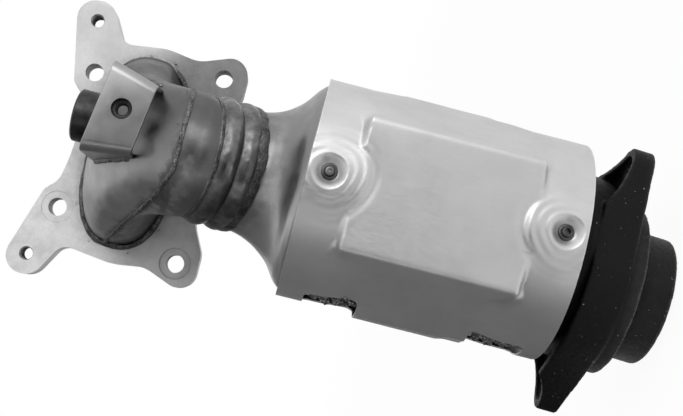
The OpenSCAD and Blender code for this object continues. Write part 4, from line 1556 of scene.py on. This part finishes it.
def shield_span(sizes, body):
    """Radius, top and length of the shield."""
    return (body.can_r + sizes.gap + sizes.sheet, body.can_top - sizes.lip, body.can_l + 2 * sizes.lip)


def plane_part(turns, at, radius):
    facing = np.maximum(np.cos(np.radians(turns - at)), 0.02)
    return (facing / radius) ** EDGE_ROUND


def pad_outline(turns, radius, raised, sizes):
    """Distance of the pressed outline at each turn, with its side pads raised by a share."""
    pad = radius - sizes.pad_drop
    facet = radius - sizes.facet_drop
    side = radius + raised * sizes.side_rise
    total = plane_part(turns, PAD_SHIFT, pad)
    total = total + plane_part(turns, PAD_SHIFT + FACET_TURN, facet)
    total = total + plane_part(turns, PAD_SHIFT - FACET_TURN, facet)
    total = total + plane_part(turns, SIDE_TURN, side)
    total = total + plane_part(turns, -SIDE_TURN, side)
    return total ** (-1 / EDGE_ROUND)


def shield_radii(lengths, turns, sizes, body):
    """Outer distance of the shield from the body axis over a grid of lengths and turns."""
    radius, _, span = shield_span(sizes, body)
    s, a = np.meshgrid(lengths, turns, indexing="ij")
    arc = np.radians(a) * radius
    first = np.full_like(s, PAD_SHARES[0] * span)
    last = np.full_like(s, PAD_SHARES[1] * span)
    for centre, edge, side in ((DIMPLE_SHARES[0] * span, first, 1), (DIMPLE_SHARES[1] * span, last, -1)):
        bulge = np.sqrt(np.maximum(sizes.bay_r ** 2 - arc ** 2, 0))
        reach = centre + side * bulge
        edge[:] = np.where(bulge > 0, np.maximum(edge * side, reach * side) * side, edge)
    aside = ease((np.abs(a - PAD_SHIFT) - PAD_SOFT_TURNS[0]) / PAD_SOFT_TURNS[1])
    edge = PAD_EDGE * (1 + FACET_SOFT * aside)
    first = first + 0.35 * aside * (edge - PAD_EDGE)
    last = last - 0.35 * aside * (edge - PAD_EDGE)
    rise = ease((s - first) / edge + 0.5) * ease((last - s) / edge + 0.5)
    raised = window(s, SIDE_SHARES[0] * span, SIDE_EDGE, SIDE_SHARES[1] * span, SIDE_EDGE)
    made = radius + rise * (pad_outline(a, radius, raised, sizes) - radius)
    floor = radius - body.can_r - sizes.sheet - SEAT_GAP
    for centre in (DIMPLE_SHARES[0] * span, DIMPLE_SHARES[1] * span):
        far = np.hypot(s - centre, arc)
        depth = np.clip((sizes.dimple_r - far) / (sizes.dimple_r * (1 - DIMPLE_FLOOR_SHARE)), 0, 1)
        bowl = 0.55 * depth + 0.45 * ease(depth)
        made = made - bowl * floor
        zone = window(far, 0.95 * sizes.dimple_r, 0.0015, sizes.ring_r, 0.006)
        around = np.arctan2(arc, s - centre)
        uneven = 0.62 + 0.25 * np.cos(2 * around + 0.6) + 0.13 * np.cos(5 * around + 40 * centre)
        drift = 0.0007 * np.cos(3 * around + 1.0)
        wave = 0.5 - 0.5 * np.cos(2 * math.pi * (far + drift - sizes.dimple_r) / sizes.ring_pitch)
        outer_ring = np.exp(-((far + 1.5 * drift - 0.87 * sizes.ring_r) / 0.0022) ** 2)
        made = made - sizes.ring_h * (zone * uneven * wave + 1.1 * uneven * outer_ring)
    for at, turn, half, depth in CREASES:
        along = (s - at * span) / 0.0009
        over = (arc - math.radians(turn) * radius) / half
        made = made - depth * np.exp(-along ** 2) * np.exp(-over ** 4)
    return made


def denser(steps, share_of_ends):
    """Steps from 0 to 1 that lie closer at both ends."""
    t = np.linspace(0, 1, steps + 1)
    return (1 - share_of_ends) * t + share_of_ends * 0.5 * (1 - np.cos(math.pi * t))


def shield_half(name, front, steps_s, steps_a, sizes, body):
    """One half of the shield around the turn of its front."""
    radius, top, span = shield_span(sizes, body)
    lengths = denser(steps_s, 0.35) * span
    middle = 2 * np.linspace(0, 1, steps_a + 1) - 1
    turns = (90 - FLAP_GAP_TURN) * (0.62 * middle + 0.38 * middle ** 3)
    radii = shield_radii(lengths, turns, sizes, body)
    outer = np.zeros(radii.shape + (3,))
    inner = np.zeros(radii.shape + (3,))
    for j, s in enumerate(lengths):
        for i, a in enumerate(turns):
            t = math.radians(a + front)
            out = np.array([math.cos(t), math.sin(t), 0])
            p = out * radii[j, i] + np.array([0, 0, -top - s])
            edge = min(s, span - s)
            wave = abs(rough(p, 0.034, 31.0, 2)) * sizes.dent_h * float(ease(edge / 0.004))
            r = radii[j, i] - wave
            outer[j, i] = out * r + np.array([0, -body.axis_y, -top - s])
            inner[j, i] = out * (r - sizes.sheet) + np.array([0, -body.axis_y, -top - s])
    return made_mesh(name, *thick_sheet(outer, inner))


def thick_sheet(outer, inner):
    """Points and faces of the closed skin between two open grids."""
    rows, count = outer.shape[:2]
    far = rows * count
    faces = []
    for j in range(rows - 1):
        for i in range(count - 1):
            face = (j * count + i, (j + 1) * count + i, (j + 1) * count + i + 1, j * count + i + 1)
            faces.append(face)
            faces.append(tuple(far + k for k in face[::-1]))
    for i in range(count - 1):
        e = (rows - 1) * count
        faces.append((i, i + 1, far + i + 1, far + i))
        faces.append((e + i + 1, e + i, far + e + i, far + e + i + 1))
    for j in range(rows - 1):
        a, b = j * count, (j + 1) * count
        faces.append((b, a, far + a, far + b))
        faces.append((a + count - 1, b + count - 1, far + b + count - 1, far + a + count - 1))
    return np.concatenate([outer.reshape(-1, 3), inner.reshape(-1, 3)]), faces


def notch_cutters(sizes, body):
    """Rounded blocks that cut the windows of the lower seam."""
    _, top, span = shield_span(sizes, body)
    lumps = []
    for first, last in NOTCH_SHARES:
        low, high = -top - last * span, -top - first * span
        front, rear = -NOTCH_FRONT + NOTCH_ROUND - body.axis_y, NOTCH_REAR - NOTCH_ROUND - body.axis_y
        bottom, ceiling = low + NOTCH_ROUND, high - NOTCH_ROUND
        outline = []
        corners = ((front, bottom, 180), (rear, bottom, 270), (rear, ceiling, 0), (front, ceiling, 90))
        for y, z, start in corners:
            outline += quarter(y, z, NOTCH_ROUND, start, 8)
        points = [(x, y, z) for x in (-0.03, -0.12) for y, z in outline]
        lumps.append((points, capped(2, len(outline))))
    return join_lumps("notch_cutters", lumps)


def dimple_matrix(turn, at, sizes, body):
    _, top, span = shield_span(sizes, body)
    place = Matrix.Translation((0, -body.axis_y, -top - at * span))
    return place @ Matrix.Rotation(math.radians(turn), 4, "Z") @ Matrix.Rotation(math.pi / 2, 4, "Y")


class CONVERTER_OT_heat_shield(bpy.types.Operator):
    """Build both halves of the pressed heat shield"""

    bl_idname = "converter.heat_shield"
    bl_label = "Heat shield"

    def execute(self, context):
        sizes = context.scene.shield_sizes
        body = context.scene.body_sizes
        metal = shield_material("aluminised_sheet", context.scene.finish_tones.shield)
        for name, node, turn, steps_s, steps_a in SHIELD_HALVES:
            front = FRONT_TURN + turn
            piece = shield_half(name, front, steps_s, steps_a, sizes, body)
            cut(piece, notch_cutters(sizes, body))
            for at in DIMPLE_SHARES:
                place = dimple_matrix(front, at, sizes, body)
                cut(piece, rod("hole", place, STUD_HOLE_R, 0.04, 0.08, 32))
            finish_piece(piece, [node], metal, 38)
        return {"FINISHED"}


STUD_R = 0.0025
STUD_H = 0.0036
# Sockets in the stud ends: radius, depth, at the outlet and at the inlet
DEEP_SOCKET = (0.0019, 0.0028)
SHALLOW_SOCKET = (0.0010, 0.0003)
# Section of a washer: radius, height above its seat
WASHER_SHAPE = (
    (0.00265, 0),
    (0.0042, 0),
    (0.0043, 0.0003),
    (0.0041, 0.00065),
    (0.0034, 0.0009),
    (0.0028, 0.00085),
    (0.00262, 0.0006),
)
TACK_COUNT = 11
TACK_R = 0.0024


class CONVERTER_OT_shield_fasteners(bpy.types.Operator):
    """Build the studs and washers that sit in the dimples"""

    bl_idname = "converter.shield_fasteners"
    bl_label = "Studs and washers"

    def execute(self, context):
        sizes = context.scene.shield_sizes
        body = context.scene.body_sizes
        metal = turned_material("fastener_steel", context.scene.finish_tones.fastener)
        seat = body.can_r + sizes.sheet + 0.0001
        studs, washers = [], []
        for turn in (FRONT_TURN, FRONT_TURN + 180):
            for at in DIMPLE_SHARES:
                place = dimple_matrix(turn, at, sizes, body)
                top = body.can_r + STUD_H
                socket_r, socket_h = DEEP_SOCKET if at > 0.5 else SHALLOW_SOCKET
                stud = [(0.0, body.can_r), (STUD_R, body.can_r), (STUD_R, top - 0.0005),
                        (STUD_R - 0.0003, top - 0.0001), (socket_r + 0.0002, top),
                        (socket_r, top - 0.0002), (socket_r, top - socket_h),
                        (0.0, top - socket_h - 0.0002)]
                studs.append(self.solid(stud, place))
                washers.append(turned([(r, seat + h) for r, h in WASHER_SHAPE], place, 48))
        finish_piece(join_lumps("stud_ends", studs), ["shield_studs"], metal)
        dark = turned_material("washer_steel", 0.5 * np.array(context.scene.finish_tones.fastener))
        finish_piece(join_lumps("washer_rings", washers), ["shield_washers"], dark)
        return {"FINISHED"}

    def solid(self, profile, place):
        """A turned solid whose profile starts and ends on the axis."""
        steps = 40
        inner = profile[1:-1]
        points = [place @ Vector((0, 0, profile[0][1])), place @ Vector((0, 0, profile[-1][1]))]
        for t in circle(steps):
            points.extend(place @ spoke(t, r, z) for r, z in inner)
        n = len(inner)
        faces = []
        for i in range(steps):
            a, b = 2 + i * n, 2 + ((i + 1) % steps) * n
            faces.append((0, b, a))
            faces.append((1, a + n - 1, b + n - 1))
            for j in range(n - 1):
                faces.append((a + j, b + j, b + j + 1, a + j + 1))
        return points, faces


class CONVERTER_OT_tack_welds(bpy.types.Operator):
    """Build the crumbly lumps of weld in the windows of the shield"""

    bl_idname = "converter.tack_welds"
    bl_label = "Tack welds"

    def execute(self, context):
        sizes = context.scene.shield_sizes
        body = context.scene.body_sizes
        _, top, span = shield_span(sizes, body)
        lumps = []
        number = 0
        for first, last in NOTCH_SHARES:
            for k in range(TACK_COUNT):
                number += 1
                t = 0.12 + 0.76 * k / (TACK_COUNT - 1)
                z = -top - (first + t * (last - first)) * span
                turn = math.radians(FRONT_TURN - 78 + 7 * math.sin(2.3 * number))
                out = spoke(turn)
                radius = TACK_R + 0.0009 * math.sin(1.7 * number)
                centre = out * (body.can_r + 0.0006) + Vector((0, -body.axis_y, z))
                lumps.append(self.lump(centre, radius, 0.37 * number))
        piece = join_lumps("tack_lumps", lumps)
        weld = weld_material("crumbly_weld", 1.4 * np.array(context.scene.finish_tones.weld))
        finish_piece(piece, ["shield_tack_welds"], weld, WELD_SHARP_TURN)
        return {"FINISHED"}

    def lump(self, centre, radius, seed):
        """One crumbly lump of weld."""
        points, faces = ball(radius, 4)
        made = []
        for v in points:
            swell = 1 + 0.35 * rough(centre + v, 0.0022, seed, 4)
            made.append(centre + v.normalized() * radius * swell)
        return made, faces


# Outlet casting


class CONVERTER_OT_outlet_casting(bpy.types.Operator):
    """Build the cast outlet with rounded edges and a cast skin"""

    bl_idname = "converter.outlet_casting"
    bl_label = "Outlet casting"

    def execute(self, context):
        sizes = context.scene.outlet_sizes
        piece = cad_copy("outlet_casting", "outlet_cast", 0)
        remesh = piece.modifiers.new("Skin", "REMESH")
        remesh.mode = "VOXEL"
        remesh.voxel_size = sizes.voxel
        applied(piece)
        self.smooth(piece, 5)
        form = cad_copy("outlet_casting", "outlet_form", 0)
        wrap = piece.modifiers.new("Wrap", "SHRINKWRAP")
        wrap.target = form
        wrap.wrap_method = "NEAREST_SURFACEPOINT"
        applied(piece)
        bpy.data.objects.remove(form)
        self.smooth(piece, 2)
        mesh = piece.data
        mesh.update()
        normals = [v.normal.copy() for v in mesh.vertices]
        for v, n in zip(mesh.vertices, normals):
            v.co += n * sizes.skin_h * (rough(v.co, 0.0030, 41.0, 3) - 0.6)
        iron = cast_material("cast_skin", context.scene.finish_tones.casting)
        finish_piece(piece, ["outlet_casting"], iron, 70)
        return {"FINISHED"}

    def smooth(self, piece, rounds):
        """Softens a piece by a number of rounds."""
        soften = piece.modifiers.new("Soften", "SMOOTH")
        soften.factor = 0.5
        soften.iterations = rounds
        applied(piece)


# Parts that keep their CAD form


class CONVERTER_OT_inner_parts(bpy.types.Operator):
    """Give the can, the mat, the ceramic and their welds their finishes"""

    bl_idname = "converter.inner_parts"
    bl_label = "Inner parts"

    def execute(self, context):
        tones = context.scene.finish_tones
        can = sheet_material("can_sheet", tones.can, 0.38, 0.35)
        # A copy of the cast skin at a lower tone, as painted shade on the cone and the weld in the gap
        # between the shield and the casting.
        dimmed = cast_material("dimmed_cast_sheet", 0.4 * np.array(tones.casting))
        weld = weld_material("inner_weld", tones.weld)
        finishes = {
            "converter_can": can,
            "outlet_cone": dimmed,
            "inlet_can_weld": weld,
            "outlet_can_weld": weld,
            "casting_weld": dimmed,
            "support_mat": fibre_material("fibre_mat", tones.fibre),
            "ceramic_brick": ceramic_material("ceramic_cells", tones.ceramic),
        }
        for node, material in finishes.items():
            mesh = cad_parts[node].data
            mesh.materials.clear()
            mesh.materials.append(material)
        return {"FINISHED"}


# Studio


FLOOR_R = 4.0
# Dark cards: name, tone, two opposite corners
CARDS = (
    ("card_under", 0.21, (-0.28, -0.38, -0.306), (-0.28, 0.9, 0.4)),
    ("card_end", 0.10, (-0.28, -0.55, -0.3065), (-0.115, 0.5, -0.3065)),
    ("card_front", 0.03, (-0.50, -1.10, -0.306), (0.32, -1.10, 0.45)),
)
LAMP_AIM = (0, -0.06, -0.12)
CAMERA_PLACE = (-0.0675, -0.6921, -0.1010)
CAMERA_BACK = (-0.0981, -0.9945, 0.0382)
CAMERA_RIGHT = (0.2431, -0.0610, -0.9682)


def card_corners(low, high):
    """Corners of the level or upright rectangle between two opposite corners."""
    first, second = (k for k in range(3) if low[k] != high[k])
    corners = []
    for ends in ((low, low), (high, low), (high, high), (low, high)):
        corner = list(low)
        corner[first] = ends[0][first]
        corner[second] = ends[1][second]
        corners.append(corner)
    return corners


class CONVERTER_OT_studio(bpy.types.Operator):
    """Set up the floor, the lamps, the room and the camera"""

    bl_idname = "converter.studio"
    bl_label = "Studio"

    def execute(self, context):
        self.floor(context)
        self.flags()
        self.room(context)
        self.lamps(context)
        self.camera(context)
        context.scene.view_settings.view_transform = "Standard"
        return {"FINISHED"}

    def floor(self, context):
        """A round pale floor just under the part."""
        studio = context.scene.studio_settings
        z = CAD_BOX[0][2] - studio.floor_gap
        points = [spoke(t, FLOOR_R, z) for t in circle(96)]
        disc = made_mesh("floor", points, [tuple(range(len(points)))])
        finish = bpy.data.materials.new("pale_floor")
        finish.use_nodes = True
        tree = finish.node_tree
        tree.nodes.clear()
        matt = tree.nodes.new("ShaderNodeBsdfDiffuse")
        grain = effect(tree, "Clouding", Scale=4.0, Speckle_scale=300.0, Contrast=0.3)
        paint = blend(tree, grain["Cloud"], (0.86, 0.86, 0.86), (0.88, 0.88, 0.88))
        tree.links.new(paint, matt.inputs["Color"])
        glow = tree.nodes.new("ShaderNodeEmission")
        glow.inputs["Strength"].default_value = 1.0
        mix = tree.nodes.new("ShaderNodeMixShader")
        far = vector_step(tree, "LENGTH", object_place(tree, 1.0))["Value"]
        faded = spread(tree, far, 0.6, 3.4, 0.94, 1.0)
        tree.links.new(math_step(tree, "MULTIPLY", self.seen(tree), faded), mix.inputs[0])
        tree.links.new(matt.outputs[0], mix.inputs[1])
        tree.links.new(glow.outputs[0], mix.inputs[2])
        out = tree.nodes.new("ShaderNodeOutputMaterial")
        tree.links.new(mix.outputs[0], out.inputs["Surface"])
        disc.data.materials.append(finish)

    def seen(self, tree):
        """One for the rays that show the background."""
        path = tree.nodes.new("ShaderNodeLightPath").outputs
        shown = math_step(tree, "MAXIMUM", path["Is Camera Ray"], path["Is Glossy Ray"])
        return math_step(tree, "MAXIMUM", shown, path["Is Transmission Ray"])

    def flags(self):
        """Dark cards outside the view that give the metal its dark side."""
        for name, tone_of_card, low, high in CARDS:
            card = made_mesh(name, card_corners(low, high), [(0, 1, 2, 3)])
            matt = bpy.data.materials.new(name)
            matt.use_nodes = True
            shader = matt.node_tree.nodes["Principled BSDF"]
            shader.inputs["Base Color"].default_value = grey(3 * (tone_of_card,))
            shader.inputs["Roughness"].default_value = 0.9
            card.data.materials.append(matt)
            card.visible_camera = False
            card.visible_shadow = False
            card.visible_diffuse = False

    def room(self, context):
        world = bpy.data.worlds.new("room")
        world.use_nodes = True
        tree = world.node_tree
        tree.nodes.clear()
        back = tree.nodes.new("ShaderNodeBackground")
        back.inputs["Color"].default_value = (1, 1, 1, 1)
        strength = context.scene.studio_settings.room
        level = spread(tree, self.seen(tree), 0.0, 1.0, strength, 1.0)
        tree.links.new(level, back.inputs["Strength"])
        out = tree.nodes.new("ShaderNodeOutputWorld")
        tree.links.new(back.outputs[0], out.inputs["Surface"])
        context.scene.world = world

    def lamps(self, context):
        studio = context.scene.studio_settings
        aim = Vector(LAMP_AIM)
        for name, place, size, power in (
                ("lamp_above", (0.95, -0.45, -0.02), 1.6, studio.key_power),
                ("lamp_front", (0.60, -1.00, 0.30), 0.7, studio.front_power)):
            light = bpy.data.lights.new(name, "AREA")
            light.size = size
            light.energy = power
            lamp = linked(name, light)
            lamp.location = place
            lamp.rotation_euler = (aim - Vector(place)).to_track_quat("-Z", "Y").to_euler()

    def camera(self, context):
        """The camera of the photograph."""
        data = bpy.data.cameras.new("camera")
        data.lens = context.scene.studio_settings.lens
        data.sensor_width = 36
        data.clip_start = 0.01
        camera = linked("camera", data)
        back = Vector(CAMERA_BACK).normalized()
        right = Vector(CAMERA_RIGHT)
        right = (right - back * right.dot(back)).normalized()
        up = back.cross(right)
        turn = Matrix((right, up, back)).transposed()
        camera.matrix_world = Matrix.Translation(CAMERA_PLACE) @ turn.to_4x4()
        context.scene.camera = camera


# Panel and registration


class CONVERTER_PT_panel(bpy.types.Panel):
    bl_idname = "CONVERTER_PT_panel"
    bl_label = "Catalytic converter"
    bl_space_type = "VIEW_3D"
    bl_region_type = "UI"
    bl_category = "Converter"

    def draw(self, context):
        for operator in OPERATORS:
            self.layout.operator(operator.bl_idname)
        for name, _ in SETTINGS:
            group = getattr(context.scene, name)
            box = self.layout.box()
            for prop in group.__annotations__:
                box.prop(group, prop)


SETTINGS = (
    ("collector_sizes", CollectorSizes),
    ("boss_sizes", BossSizes),
    ("strap_sizes", StrapSizes),
    ("body_sizes", BodySizes),
    ("shield_sizes", ShieldSizes),
    ("outlet_sizes", OutletSizes),
    ("finish_tones", FinishTones),
    ("studio_settings", StudioSettings),
)

OPERATORS = (
    CONVERTER_OT_inlet_flange,
    CONVERTER_OT_collector,
    CONVERTER_OT_collector_welds,
    CONVERTER_OT_sensor_boss,
    CONVERTER_OT_bracket,
    CONVERTER_OT_neck,
    CONVERTER_OT_inlet_cone,
    CONVERTER_OT_heat_shield,
    CONVERTER_OT_shield_fasteners,
    CONVERTER_OT_tack_welds,
    CONVERTER_OT_outlet_casting,
    CONVERTER_OT_inner_parts,
    CONVERTER_OT_studio,
)


def register():
    for name, group in SETTINGS:
        bpy.utils.register_class(group)
        setattr(bpy.types.Scene, name, PointerProperty(type=group))
    for operator in OPERATORS:
        bpy.utils.register_class(operator)
    bpy.utils.register_class(CONVERTER_PT_panel)


def unregister():
    bpy.utils.unregister_class(CONVERTER_PT_panel)
    for operator in reversed(OPERATORS):
        bpy.utils.unregister_class(operator)
    for name, group in reversed(SETTINGS):
        delattr(bpy.types.Scene, name)
        bpy.utils.unregister_class(group)


def main():
    register()
    for operator in OPERATORS:
        family, name = operator.bl_idname.split(".")
        getattr(getattr(bpy.ops, family), name)()


if __name__ == "__main__":
    main()
